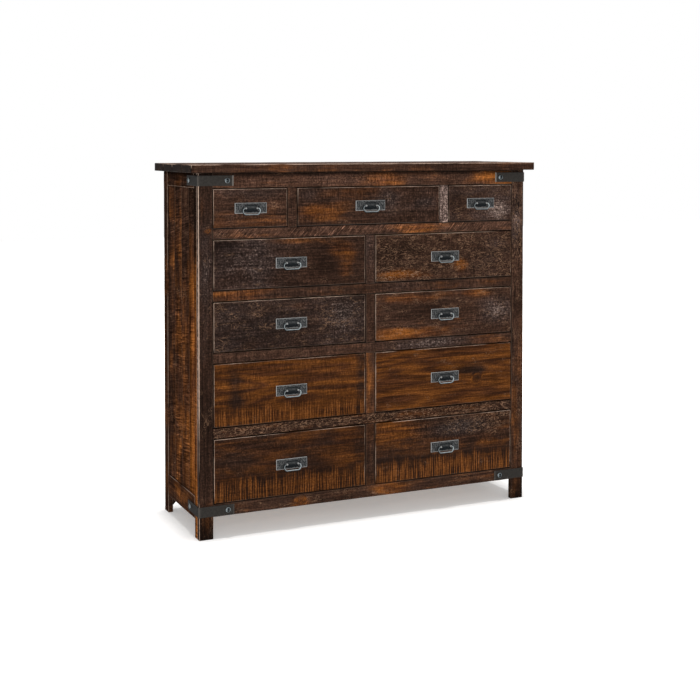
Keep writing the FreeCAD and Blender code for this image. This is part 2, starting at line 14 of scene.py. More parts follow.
import bmesh
import bpy
import numpy as np
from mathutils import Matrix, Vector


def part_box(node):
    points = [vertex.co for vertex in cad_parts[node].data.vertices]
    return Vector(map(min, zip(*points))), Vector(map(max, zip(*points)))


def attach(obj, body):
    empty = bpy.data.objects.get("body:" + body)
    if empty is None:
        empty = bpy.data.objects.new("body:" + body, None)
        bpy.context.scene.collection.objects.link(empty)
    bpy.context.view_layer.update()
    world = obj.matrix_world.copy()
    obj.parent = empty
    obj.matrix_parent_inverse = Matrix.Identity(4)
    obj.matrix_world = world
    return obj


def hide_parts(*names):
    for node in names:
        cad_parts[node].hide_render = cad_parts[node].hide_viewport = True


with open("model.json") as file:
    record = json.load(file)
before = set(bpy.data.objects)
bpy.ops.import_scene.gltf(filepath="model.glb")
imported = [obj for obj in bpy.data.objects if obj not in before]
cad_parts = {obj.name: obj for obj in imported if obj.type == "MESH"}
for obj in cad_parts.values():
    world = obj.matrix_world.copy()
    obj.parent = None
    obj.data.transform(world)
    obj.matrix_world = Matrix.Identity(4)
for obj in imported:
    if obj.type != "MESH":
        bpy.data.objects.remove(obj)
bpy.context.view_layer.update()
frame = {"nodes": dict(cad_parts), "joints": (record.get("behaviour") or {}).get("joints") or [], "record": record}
MM = 0.001


# %% Put a thing in the scene
def add_object(name, data, place=(0, 0, 0), turn=(0, 0, 0)):
    """A new object that shows a mesh, a lamp or a camera, at its place and turn."""
    thing = bpy.data.objects.new(name, data)
    bpy.context.scene.collection.objects.link(thing)
    thing.location = place
    thing.rotation_euler = turn
    return thing


# %% [markdown]
# ## The camera
# The photograph was taken a little left of the chest and just above its top, with a long lens.
# A perspective fit of the chest's corners gave the place, the turn and the tilt. The chest sits
# above the middle of the picture, so the lens is shifted down instead of tilting the camera more.

# %% Set the camera
CAMERA_PLACE = (-2.1688, -4.7567, 1.5061)
CAMERA_TURN = 24.617
CAMERA_TILT = 1.685
SENSOR_MM = 36
LENS_MM = 64.57
LENS_SHIFT = -0.2404


def set_camera():
    turn = (math.radians(90 - CAMERA_TILT), 0, math.radians(-CAMERA_TURN))
    camera = add_object("camera", bpy.data.cameras.new("camera"), CAMERA_PLACE, turn)
    camera.data.sensor_width = SENSOR_MM
    camera.data.lens = LENS_MM
    camera.data.shift_y = LENS_SHIFT
    bpy.context.scene.camera = camera
    print("camera at", CAMERA_PLACE, "with a lens of", LENS_MM, "mm")


set_camera()

# %% [markdown]
# ## Short helpers for shader nodes
# A material here is a chain of many small nodes. It could be drawn by hand in the shader editor, but
# short helpers keep it readable as text. What a node puts out is a value, and the signs + - * / on
# values add the nodes that do the arithmetic.


# %% Values and nodes
class Value:
    """What a node puts out. The signs of arithmetic add a node that works out the result."""

    def __init__(self, socket):
        self.socket = socket

    def __add__(self, other):
        return sums("ADD", self, other)

    def __sub__(self, other):
        return sums("SUBTRACT", self, other)

    def __rsub__(self, other):
        return sums("SUBTRACT", other, self)

    def __mul__(self, other):
        return sums("MULTIPLY", self, other)

    def __truediv__(self, other):
        return sums("DIVIDE", self, other)

    def __rtruediv__(self, other):
        return sums("DIVIDE", other, self)


def fit(kind, feeds, tree=None, **settings):
    """Adds a node beside those that feed it, sets its options, and feeds its inputs."""
    tree = tree or next(value.socket.id_data for value in feeds.values() if isinstance(value, Value))
    node = tree.nodes.new(kind)
    for option, value in settings.items():
        setattr(node, option, value)
    for key, value in feeds.items():
        if isinstance(value, Value):
            tree.links.new(value.socket, node.inputs[key])
        else:
            node.inputs[key].default_value = value
    return node


def work(kind, feeds, output=0, **settings):
    """Adds a node and hands on one of its outputs."""
    return Value(fit(kind, feeds, **settings).outputs[output])


def sums(operation, *values, clamp=False):
    return work("ShaderNodeMath", dict(enumerate(values)), operation=operation, use_clamp=clamp)


def clamped(value):
    """The value, kept between 0 and 1."""
    return sums("ADD", value, 0.0, clamp=True)


# %% Helpers for colours and places
def mix(share, first, second):
    return work("ShaderNodeMix", {0: share, 6: first, 7: second}, 2, data_type="RGBA")


def ramp(value, start, end):
    """0 below start, 1 above end, and a smooth step between them."""
    return work("ShaderNodeMapRange", {0: value, 1: start, 2: end}, interpolation_type="SMOOTHSTEP")


def stretch(place, *scales):
    """Scales a place, so that noise read there is drawn out along the board."""
    return work("ShaderNodeVectorMath", {0: place, 1: scales}, operation="MULTIPLY")


def noise(place, scales=None, detail=3.0, distortion=0.0, roughness=0.55):
    """Noise at a place, which scales can stretch along, across and through the board first."""
    if scales:
        place = stretch(place, *scales)
    feeds = {"Vector": place, "Scale": 1.0, "Detail": detail}
    feeds.update({"Roughness": roughness, "Distortion": distortion})
    return work("ShaderNodeTexNoise", feeds)


def split(place):
    return [Value(output) for output in fit("ShaderNodeSeparateXYZ", {0: place}).outputs]


def join(*values):
    return work("ShaderNodeCombineXYZ", dict(enumerate(values)))


def scaled(colour, factor):
    """A colour made lighter or darker by a factor."""
    return work("ShaderNodeVectorMath", {0: colour, "Scale": factor}, operation="SCALE")


def attribute(tree, name, output="Fac"):
    return work("ShaderNodeAttribute", {}, output, tree=tree, attribute_name=name)


def own_place(tree):
    """The place of a point in its own object."""
    return work("ShaderNodeTexCoord", {}, "Object", tree=tree)


def stain(code):
    """A colour written as six hexadecimal digits, as linear red, green and blue."""
    parts = [int(code[i : i + 2], 16) / 255 for i in (0, 2, 4)]
    return tuple(p / 12.92 if p <= 0.04045 else ((p + 0.055) / 1.055) ** 2.4 for p in parts) + (1.0,)


# %% Helpers for groups
def by_name(node):
    """The outputs of a node by their names, in small letters."""
    named = [output for output in node.outputs if output.name]
    return SimpleNamespace(**{output.name.lower(): Value(output) for output in named})


def new_group(name, **numbers):
    """An empty node group that takes a place and some numbers, and gives them by name."""
    tree = bpy.data.node_groups.new(name, "ShaderNodeTree")
    tree.interface.new_socket("Place", in_out="INPUT", socket_type="NodeSocketVector")
    for label, value in numbers.items():
        socket = tree.interface.new_socket(label, in_out="INPUT", socket_type="NodeSocketFloat")
        socket.default_value = value
    return tree, by_name(tree.nodes.new("NodeGroupInput"))


def close_group(tree, **values):
    """Puts out what a group has worked out, each value under its name."""
    for label in values:
        tree.interface.new_socket(label, in_out="OUTPUT", socket_type="NodeSocketFloat")
    fit("NodeGroupOutput", values)
    return tree


def use(group, **feeds):
    """Places a node group in a material and feeds its named inputs."""
    return by_name(fit("ShaderNodeGroup", feeds, node_tree=group))


# %% Start and finish a material
def new_material(name):
    material = bpy.data.materials.new(name)
    material.use_nodes = True
    material.node_tree.nodes.clear()
    return material, material.node_tree


def coated(colour, rough, height, strength, depth, sheen, metallic=0.0):
    """Finishes a material: a relief, and a shader with a steady sheen and metal share."""
    normal = work("ShaderNodeBump", {"Strength": strength, "Distance": depth, "Height": height})
    feeds = {"Base Color": colour, "Roughness": rough, "Normal": normal}
    feeds.update({"Specular IOR Level": sheen, "Metallic": metallic})
    fit("ShaderNodeOutputMaterial", {"Surface": work("ShaderNodeBsdfPrincipled", feeds)})


# %% [markdown]
# ## What rough-sawn timber shows
# Five effects make this finish, and each is a node group. Grain streaks run along a board, with fine
# fibres and short dark pores. The band saw leaves marks across the grain. Some boards have a curly
# figure, which shows as tiger stripes where the stain was rubbed. Torn grain is a scribble of chips
# that hold no stain. The last group rubs the stain off the arrises. All of them read a place in
# metres along, across and through the board, so the pattern turns with each board.


# %% Grain streaks
def grain_group():
    tree, given = new_group("grain streaks")
    streaks = noise(given.place, (3.2, 62, 62), detail=7, distortion=0.5, roughness=0.66)
    contour = noise(given.place, (1.3, 9, 9), detail=2, distortion=0.3)
    bands = sums("PINGPONG", contour * 13.0, 1.0)
    lines = noise(given.place, (7, 150, 150), detail=3, distortion=0.5)
    fibres = noise(given.place, (16, 520, 520), detail=4)
    pores = ramp(noise(given.place, (55, 900, 900), detail=1), 0.60, 0.70)
    return close_group(tree, Streaks=streaks, Bands=bands, Lines=lines, Fibres=fibres, Pores=pores)


# %% Saw marks
def saw_group():
    tree, given = new_group("saw marks", Pitch=4 * MM, Skew=0.0)
    along, across, through = split(given.place)
    line = (across * given.skew + along) / given.pitch
    marks = noise(join(line, across * 9.0, through), detail=4, roughness=0.78)
    patch = ramp(noise(given.place, (7, 16, 7), detail=2), 0.38, 0.62)
    return close_group(tree, Marks=(marks - 0.5) * 3.2, Patch=patch)


# %% Curly figure
def curl_group():
    tree, given = new_group("curly figure", Pitch=4 * MM, Amount=0.0)
    along, across, through = split(given.place)
    sway = noise(given.place, (9, 14, 9), detail=2)
    line = sway * 1.6 + along / given.pitch
    figure = noise(join(line, across * 9.0, through), detail=1, roughness=0.5)
    figure = sums("SINE", line * 2.4) * 0.10 + figure
    fade = (noise(given.place, (60, 12, 12)) - 0.5) * 1.7
    amount = ramp(given.amount + fade, 0.25, 0.85)
    return close_group(tree, Stripes=ramp(figure, 0.42, 0.64) * amount)


# %% Torn grain
def torn_group():
    tree, given = new_group("torn grain", Amount=0.0)
    lines = noise(given.place, (32, 84, 84), detail=2, distortion=1.2)
    scribble = 1.0 - ramp(sums("ABSOLUTE", lines - 0.5), 0.006, 0.038)
    where = noise(given.place, (15, 30, 30), detail=3)
    cover = ramp(given.amount * 0.55 + where, 0.62, 0.88)
    pits = ramp(noise(given.place, (60, 150, 150), detail=3, distortion=1.0), 0.56, 0.68)
    return close_group(tree, Chips=scribble * cover, Pits=pits * cover)


# %% Rubbed arrises
def rub_group():
    tree, given = new_group("rubbed arris", Rim=1.0, Width=2.5 * MM, Worn=1.0)
    ragged = noise(given.place, (70, 70, 70), detail=3)
    width = given.width * (ragged * 1.6 + 0.2) * sums("MAXIMUM", given.worn, 0.8)
    near = 1.0 - ramp(given.rim / width, 0.45, 1.25)
    kept = ramp(noise(given.place, (6, 6, 6), detail=2), 0.30, 0.56)
    return close_group(tree, Rub=near * kept)


GRAIN = grain_group()
SAW = saw_group()
CURL = curl_group()
TORN = torn_group()
RUB = rub_group()
print("node groups:", [group.name for group in (GRAIN, SAW, CURL, TORN, RUB)])

# %% [markdown]
# ## The stained timber
# Boards carry their own marks in point attributes: where they are warm, greyed, curly, torn, sawn,
# worn or dark. A picture of wood could be laid on them, but it would show the same knots everywhere,
# so the material mixes its colour from the marks and the groups. The stain is darkest in the
# streaks, orange where the wood is warm, grey-purple where the surface was scorched, and cream on
# the rubbed arrises. The arrises that are not rubbed hold pooled stain and painted shade.

# %% Colours of the stain
DARK = stain("2b1e18")
MIDDLE = stain("452f24")
REDDISH = stain("4b2c1a")
ORANGE = stain("7d4a20")
AMBER = stain("885228")
GREY = stain("3b2f2b")
PALE_GREY = stain("65564f")
CHIP = stain("927058")
CREAM = stain("b89e8c")
BLACK = stain("0e0805")
print("a rubbed arris is", round(CREAM[1] / DARK[1]), "times as light as the darkest stain")


# %% Marks and patterns of a board
MARKS = ["warm", "grey", "curl", "torn", "saw", "worn", "dark"]


def patterns(tree, pitch, skew, rub, coarse):
    """What the stain reads, by name: the board's marks, the groups' outputs and a few noises."""
    place = stretch(attribute(tree, "grain_place", "Vector"), 1.0, coarse, coarse)
    found = {label: attribute(tree, label) for label in MARKS + ["rim"]}
    placed = [
        use(GRAIN, Place=place),
        use(SAW, Place=place, Pitch=pitch, Skew=skew),
        use(CURL, Place=place, Amount=found["curl"]),
        use(TORN, Place=place, Amount=found["torn"]),
        use(RUB, Place=place, Rim=found["rim"], Width=rub, Worn=found["worn"]),
    ]
    for outputs in placed:
        found.update(vars(outputs))
    found["cloud"] = noise(place, (8, 16, 16), detail=4, distortion=0.4)
    found["mottle"] = noise(place, (45, 90, 90), detail=3)
    found["speckle"] = noise(place, (140, 165, 165), detail=1.5, roughness=0.6)
    along, across, through = split(place)
    slanted = join(across * skew + along, across, through)
    found["dashes"] = noise(slanted, (250, 34, 34), detail=2, roughness=0.6)
    return SimpleNamespace(**found)


# %% Colour of the stain
def swayed(at, mark, by_cloud, by_streak):
    """A mark whose border is broken up by the cloud and the streaks."""
    return mark + ((at.cloud - 0.5) * by_cloud + (at.streaks - 0.5) * by_streak)


def stained(at):
    """Dark stain that turns warm, grey or striped where the board is marked so."""
    colour = mix(ramp(swayed(at, at.streaks, 0.3, 0.0), 0.10, 0.90), DARK, MIDDLE)
    banded = at.bands * 0.45 + at.streaks * 0.75
    warm_colour = mix(ramp(banded, 0.3, 0.95), REDDISH, ORANGE)
    colour = mix(ramp(swayed(at, at.warm, 1.2, 0.5), 0.30, 1.0), colour, warm_colour)
    flecks = (at.grey - 1.0) * 0.5 + (at.mottle * 0.45 + at.speckle * 0.55)
    grey_colour = mix(ramp(flecks, 0.40, 0.68), GREY, PALE_GREY)
    colour = mix(ramp(swayed(at, at.grey, 1.0, 0.3), 0.35, 1.0), colour, grey_colour)
    striped = mix(at.stripes, scaled(colour, 0.66), AMBER)
    return mix(ramp(at.curl, 0.1, 0.6), colour, striped)


# %% Relief and tone
SAW_CONTRAST = 3.0
DARK_DEPTH = -1.6


def saw_relief(at):
    """How far the saw marks rise and sink: less between their patches and on curly wood."""
    uncurled = clamped(1.0 - at.curl * 0.7)
    share = (at.patch * 0.6 + 0.4) * (at.saw * uncurled)
    return (at.marks * 0.5 + (at.dashes - 0.5) * 2.6) * share


def lightness(at, sawn, streaky):
    """The factor on the stain's colour, where a tone of 1 doubles it and -1 halves it."""
    leather = (at.speckle - 0.5) * (sums("MINIMUM", at.grey, 0.6) * 4.5 + 2.0)
    drawn = (at.lines - 0.5) * 5.0 * clamped(1.1 - (at.saw + at.curl))
    small = (at.fibres - 0.5) * 2.4 + (at.streaks - 0.5) * streaky
    tone = sawn * SAW_CONTRAST + (leather + drawn) + small
    return sums("POWER", 2.0, at.dark * DARK_DEPTH + tone)


# %% Pores, chips and arrises
RUB_STRENGTH = 0.9


def detailed(at, colour):
    """Dark pores and pits, pale chips, and arrises that are rubbed cream or stay dark with pooled stain and
    painted shade where boards meet.
    """
    colour = mix(at.pores * 0.5, colour, BLACK)
    colour = mix(at.pits * 0.55, colour, BLACK)
    colour = mix(at.chips * 0.65, colour, CHIP)
    # Unrubbed arrises darken: pooled stain, and painted shade in the gaps and joints between boards.
    stain_pool_and_gap_shade = at.rub * clamped(1.0 - at.worn)
    colour = mix(stain_pool_and_gap_shade * 0.8, colour, BLACK)
    return mix(clamped(at.rub * (at.worn * RUB_STRENGTH)), colour, CREAM)


# %% Build the timber materials
def timber(name, pitch=10 * MM, skew=0.0, rub=3 * MM, coarse=1.0, streaky=0.4, sheen=0.02):
    """Sawn and stained wood: pitch is the saw's, rub the width of the rubbed arrises."""
    material, tree = new_material(name)
    at = patterns(tree, pitch, skew, rub, coarse)
    sawn = saw_relief(at)
    colour = detailed(at, scaled(stained(at), lightness(at, sawn, streaky)))
    rough = clamped(at.fibres * 0.25 + 0.5 + at.grey * 0.12)
    height = at.fibres * 0.5 + sawn * 0.8 - at.pores * 0.5 - at.pits + at.chips * 0.9
    coated(colour, rough, height, strength=0.8, depth=0.6 * MM, sheen=sheen)
    return material


FRONT_TIMBER = timber("front timber")
CASE_TIMBER = timber("case timber", pitch=11 * MM)
SKEWED_TIMBER = timber("skewed saw timber", skew=-0.9)
PANEL_TIMBER = timber("panel timber", skew=0.35, coarse=0.4, streaky=3.6, sheen=0.0)
END_TIMBER = timber("end frame timber", coarse=0.5, streaky=3.6, sheen=0.0)
SLAB_TIMBER = timber("slab timber", pitch=15 * MM, rub=3.5 * MM)
print("timbers:", sorted(material.name for material in bpy.data.materials))

# %% [markdown]
# ## Reading boards from the frame
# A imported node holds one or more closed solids, stored face after face. A solid ends where its last
# open edge meets its neighbour, so the boards of a node can be told apart without any list of sizes.


# %% Find the solids of a node
def solids_of(node):
    """The solids of a CAD node, each as its corner points and its faces."""
    mesh = frame["nodes"][node].data
    spots = [tuple(round(x, 6) for x in vertex.co) for vertex in mesh.vertices]
    found, faces, open_edges = [], [], set()
    for polygon in mesh.polygons:
        corners = [spots[i] for i in polygon.vertices]
        faces.append(corners)
        for first, second in zip(corners, corners[1:] + corners[:1]):
            open_edges ^= {frozenset((first, second))}
        if not open_edges:
            found.append(faces)
            faces = []
    return found


def corners_of(faces):
    points = np.array([corner for face in faces for corner in face])
    return points.min(0), points.max(0)


def boxes_of(node):
    """The low and the high corner of each solid of a node."""
    return [corners_of(faces) for faces in solids_of(node)]


print("boards in the front rails:", len(boxes_of("front_rails")))

# %% [markdown]
# ## Cutting a board again
# A sawn board isn't a perfect box: its faces wander by a few tenths of a millimetre, and its arrises
# are eased by hand. The board is a lattice of points on a box, close together near the arrises. Each
# point is pulled in by a smooth ripple and then rounded towards the middle, so it stays inside the
# box that the frame gives. Every point also carries its place in the grain, its distance to the
# nearest arris, and the board's marks.


# %% Ripples and lattice lines
WAVES = 5


def ripple(points, seed, reach):
    """A smooth wander between 0 and 1, made of a few waves of about one reach."""
    draw = random.Random(seed)
    total = np.zeros(len(points))
    for _ in range(WAVES):
        way = np.array([draw.uniform(-1, 1) for _ in range(3)]) * math.tau / reach
        total += np.sin(points @ way + draw.uniform(0, math.tau))
    return 0.5 + total / (2 * WAVES)


EDGE_STEPS = [0, 0.7 * MM, 1.6 * MM, 3 * MM, 5 * MM]
EDGE_CLEAR = 0.4 * MM
LATTICE_STEP = 12 * MM


def lattice_lines(low, high):
    """Lines across one side of a board: close together near its ends, even between them."""
    span = high - low
    near = [step for step in EDGE_STEPS if step < span / 2 - EDGE_CLEAR]
    count = round((span - 2 * near[-1]) / LATTICE_STEP) + 1
    middle = np.linspace(near[-1], span - near[-1], max(2, count))
    return low + np.array(near[:-1] + list(middle) + [span - step for step in reversed(near[:-1])])


print("lattice lines across a board of 100 mm:", len(lattice_lines(0, 100 * MM)))


# %% The lattice on a box
def lattice(low, high):
    """Points and faces on the surface of a box."""
    lines = [lattice_lines(a, b) for a, b in zip(low, high)]
    counts = [len(line) for line in lines]
    grid = np.stack(np.meshgrid(*lines, indexing="ij"), -1).reshape(-1, 3)
    index = np.arange(len(grid)).reshape(counts)
    faces = []
    for axis in range(3):
        for end in (0, counts[axis] - 1):
            sheet = np.take(index, end, axis=axis)
            quads = [sheet[:-1, :-1], sheet[1:, :-1], sheet[1:, 1:], sheet[:-1, 1:]]
            quad = np.stack([q.ravel() for q in quads], -1)
            outward = (end == 0) == (axis != 1)
            faces.append(quad[:, ::-1] if outward else quad)
    faces = np.concatenate(faces)
    used, renumbered = np.unique(faces, return_inverse=True)
    return grid[used], renumbered.reshape(faces.shape)


# %% Marks on a board
BARE = dict(warm=0.0, grey=0.0, curl=0.0, torn=0.0, saw=0.4, worn=0.1, dark=0.0)
END_GRAIN = 1.0
END_FACE = 0.3 * MM
KNOT_DARK = 0.5
KNOT_RISE = 0.16


def board_marks(points, low, high, looks):
    """The marks of a board at each point: a base amount and a few soft patches."""
    sides = high - low
    two = sorted(np.argsort(sides)[1:])
    u = (points[:, two[0]] - low[two[0]]) / sides[two[0]]
    v = (points[:, two[1]] - low[two[1]]) / sides[two[1]]
    marks = {label: np.full(len(points), float(looks.get(label, BARE[label]))) for label in MARKS}
    for label, at_u, at_v, reach_u, reach_v, amount in looks.get("patches", []):
        marks[label] += amount * np.exp(-(((u - at_u) / reach_u) ** 2) - ((v - at_v) / reach_v) ** 2)
    # Only the upper arrises are rubbed; the lower ones stay dark as painted shade under the edge.
    marks["worn"] += looks.get("worn_top", 0.0) * (points[:, 2] > (low[2] + high[2]) / 2)
    long = int(np.argmax(sides))
    to_end = np.minimum(points[:, long] - low[long], high[long] - points[:, long])
    marks["dark"] += END_GRAIN * (to_end < END_FACE)
    knots = np.zeros(len(points))
    for at_u, at_v, reach in looks.get("knots", []):
        away = ((u - at_u) * sides[two[0]] / reach) ** 2 + ((v - at_v) * sides[two[1]] / reach) ** 2
        knots += np.exp(-away)
    marks["dark"] += KNOT_DARK * knots
    return marks, knots


# %% Rough board
RIPPLE_REACH = 90 * MM
EASE_REACH = 70 * MM


def grain_places(points, low, high, seed):
    """Each point's place along, across and through its board, on a fresh stretch of grain."""
    draw = random.Random(seed)
    return np.stack([points[:, k] + draw.uniform(-9, 9) for k in np.argsort(-(high - low))], -1)


def rippled(points, seed, wander):
    return np.stack([wander * ripple(points, seed + k, RIPPLE_REACH) for k in range(3)], -1)


def rough_board(low, high, looks, seed, ease=1.3 * MM, wander=0.7 * MM):
    """One sawn board inside the box from low to high, with its attributes."""
    low, high = np.array(low, float), np.array(high, float)
    points, faces = lattice(low, high)
    rim = np.sort(np.minimum(points - low, high - points), axis=1)[:, 1]
    wander = looks.get("wander", wander)
    inner_low = low + rippled(points, seed + 10, wander)
    inner_high = high - rippled(points, seed + 20, wander)
    radius = (ease * (0.55 + 0.9 * ripple(points, seed + 5, EASE_REACH)))[:, None]
    radius = np.minimum(radius, (high - low).min() * 0.3)
    shrunk = np.clip(points, inner_low, inner_high)
    core = np.clip(shrunk, inner_low + radius, inner_high - radius)
    away = shrunk - core
    size = np.linalg.norm(away, axis=1, keepdims=True)
    shaped = core + away / np.maximum(size, 1e-9) * np.minimum(size, radius)
    grain_place = grain_places(points, low, high, seed)
    marks, knots = board_marks(points, low, high, looks)
    grain_place[:, 2] += KNOT_RISE * knots
    return {"points": shaped, "faces": faces, "grain_place": grain_place, "rim": rim, **marks}


def cut_boards(boxes, looks, seed, **cut):
    """One rough board for each box, with its own look and a seed of its own."""
    pairs = enumerate(zip(boxes, looks))
    return [rough_board(*box, look, seed=seed + i, **cut) for i, (box, look) in pairs]


# %% Join parts into one mesh
def joined_mesh(name, parts, material, smooth):
    """One mesh from several parts, each given by its points and its faces."""
    mesh = bpy.data.meshes.new(name)
    starts = np.cumsum([0] + [len(points) for points, _ in parts])
    faces = []
    for (_, corners), start in zip(parts, starts):
        faces += [tuple(int(i) + int(start) for i in face) for face in corners]
    mesh.from_pydata(np.concatenate([points for points, _ in parts]).tolist(), [], faces)
    mesh.polygons.foreach_set("use_smooth", [smooth] * len(mesh.polygons))
    mesh.materials.append(material)
    return mesh


def write_marks(mesh, label, values, kind="FLOAT", field="value"):
    """Writes the values of all parts, one part after the other, on the points of a mesh."""
    layer = mesh.attributes.new(label, kind, "POINT")
    layer.data.foreach_set(field, np.concatenate(values).astype(np.float32).ravel())


def join_boards(name, boards, material, smooth=True):
    """One mesh object from several boards, with their attributes kept."""
    parts = [(board["points"], board["faces"]) for board in boards]
    mesh = joined_mesh(name, parts, material, smooth)
    for label in ["rim"] + MARKS:
        write_marks(mesh, label, [board[label] for board in boards])
    places = [board["grain_place"] for board in boards]
    write_marks(mesh, "grain_place", places, "FLOAT_VECTOR", "vector")
    return add_object(name, mesh)


# %% Stand for a node
def body_of(node):
    bodies = frame["record"]["behaviour"]["bodies"]
    return next(body for body, members in bodies.items() if node in members)


def slot_of(node):
    parts = frame["record"]["subparts"]
    return next(part["material_slot"] for part in parts if part["node"] == node)


def stand_for(piece, node):
    """The piece takes the place of a CAD node: it rides on the same body and hides the node."""
    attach(piece, body_of(node))
    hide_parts(node)
    slot_of(node)
    print(f"{piece.name}: {len(piece.data.vertices)} points, stands for {node}")
    return piece


# %% [markdown]
# ## The case
# The face frame shows one board to each stile, rail and mullion. Rails run through from stile to
# stile, and the mullions stand between them. One box could carry them all, but separate boards let
# the grain turn at every joint. The look of a board is a base amount of each mark and soft patches,
# each given by its mark, its place on the board, its reach and its strength.

# %% Looks of the face frame
NEAR_CORNER = ("worn", 0.0, 0.6, 0.12, 0.7, 1.5)
FOOT = ("dark", 0.5, 0.0, 9.0, 0.065, 1.1)
# Painted shade under the slab: the top rail and the tops of the stiles are darkened there.
SHADE_UNDER_SLAB = ("dark", 0.5, 1.0, 9.0, 0.2, 1.7)
STILE_TOP_SHADE = ("dark", 0.5, 1.0, 9.0, 0.008, 1.7)
STILE_LOOKS = {
    "front_stile_left": dict(
        warm=0.15, grey=0.45, saw=0.35, torn=0.15, dark=0.35, knots=[(0.7, 0.842, 9 * MM)],
        patches=[NEAR_CORNER, FOOT, STILE_TOP_SHADE, ("grey", 0.5, 0.72, 0.6, 0.12, 0.4),
                 ("warm", 0.7, 0.842, 0.25, 0.007, 1.2), ("dark", 0.7, 0.842, 0.15, 0.004, -0.7),
                 ("warm", 0.6, 0.06, 0.8, 0.06, 0.5), ("warm", 0.3, 0.9, 0.5, 0.06, 0.3),
                 ("dark", 0.5, 0.33, 0.9, 0.12, 0.4)]),
    "front_stile_right": dict(
        warm=0.3, grey=0.4, saw=0.35, torn=0.25, dark=0.05,
        patches=[FOOT, STILE_TOP_SHADE, ("grey", 0.4, 0.85, 0.6, 0.08, 0.5),
                 ("warm", 0.4, 0.2, 0.6, 0.2, 0.4), ("dark", 0.4, 0.9, 0.4, 0.02, 0.9),
                 ("dark", 0.6, 0.78, 0.4, 0.03, 0.7), ("dark", 0.3, 0.84, 0.5, 0.02, -0.8),
                 ("dark", 0.6, 0.6, 0.5, 0.04, 0.5), ("torn", 0.5, 0.82, 0.8, 0.12, 0.7)]),
}
RAIL_LOOKS = [
    dict(
        warm=0.35, grey=0.2, saw=0.4, torn=0.3, knots=[(0.27, 0.5, 16 * MM)],
        patches=[("warm", 0.27, 0.4, 0.03, 0.4, 1.0), ("warm", 0.56, 0.6, 0.05, 0.5, 0.9)]),
    dict(
        warm=0.35, grey=0.3, saw=0.3, torn=0.95, dark=0.38, wander=2.6 * MM,
        patches=[("warm", 0.7, 0.5, 0.15, 0.6, 0.3)]),
    dict(
        warm=0.25, grey=0.4, saw=0.5, torn=0.2,
        patches=[("grey", 0.72, 0.5, 0.15, 0.8, 0.6), ("warm", 0.9, 0.4, 0.08, 0.8, 0.5)]),
    dict(
        warm=0.4, grey=0.2, saw=0.7, torn=0.1,
        patches=[("warm", 0.05, 0.5, 0.12, 0.8, 0.4), ("grey", 0.6, 0.6, 0.12, 0.8, 0.5)]),
    dict(
        warm=0.3, grey=0.45, saw=1.0, torn=0.1, dark=-0.3,
        patches=[("warm", 0.12, 0.3, 0.08, 0.6, 0.2), ("warm", 0.66, 0.5, 0.08, 0.8, 0.6)]),
    # The top rail, with painted shade under the slab.
    dict(
        warm=0.35, grey=0.3, saw=0.5, torn=0.05, dark=-0.35,
        patches=[("grey", 0.4, 0.6, 0.16, 0.9, 0.25), ("warm", 0.55, 0.4, 0.06, 0.6, 0.5),
                 ("warm", 0.95, 0.4, 0.07, 0.7, 0.8), SHADE_UNDER_SLAB]),
]
MULLION_LOOKS = [
    dict(warm=0.4, grey=0.1, saw=0.5, dark=0.25),
    dict(warm=0.5, grey=0.1, saw=0.5, dark=-0.1),
    dict(warm=0.2, grey=0.4, saw=0.6, dark=0.1),
    dict(warm=0.2, grey=0.6, saw=0.7, dark=-0.2),
    dict(warm=0.3, grey=0.4, saw=0.7),
    dict(warm=0.1, grey=1.0, saw=0.5, dark=-0.6),
]

print("boards in the face frame:", len(STILE_LOOKS) + len(RAIL_LOOKS) + len(MULLION_LOOKS))

# %% Build the face frame
SEEDS = dict(rails=100, mullions=200, ends=300, panels=400, slab=500, fronts=700)
RAIL_WANDER = 1.2 * MM
SKEWED_RAIL = 4


def face_frame():
    for name, looks in STILE_LOOKS.items():
        boards = cut_boards(boxes_of(name), [looks], len(name))
        stand_for(join_boards(name + "_board", boards, CASE_TIMBER), name)
    boxes = sorted(boxes_of("front_rails"), key=lambda box: box[0][2])
    boards = cut_boards(boxes, RAIL_LOOKS, SEEDS["rails"], wander=RAIL_WANDER)
    skewed = boards.pop(SKEWED_RAIL)
    stand_for(join_boards("front_rail_boards", boards, CASE_TIMBER), "front_rails")
    stand_for(join_boards("skewed_rail_board", [skewed], SKEWED_TIMBER), "front_rails")
    boxes = sorted(boxes_of("front_mullions"), key=lambda box: (round(box[0][2], 3), box[0][0]))
    boards = cut_boards(boxes, MULLION_LOOKS, SEEDS["mullions"])
    stand_for(join_boards("front_mullion_boards", boards, CASE_TIMBER), "front_mullions")


face_frame()

# %% [markdown]
# ## The ends and the slab
# Each end is a frame of four boards round a panel of upright planks. The slab on top is four long
# planks with a small vee between them. A texture could draw the joints, but eased edges on real
# planks catch the light as the photographed ones do.

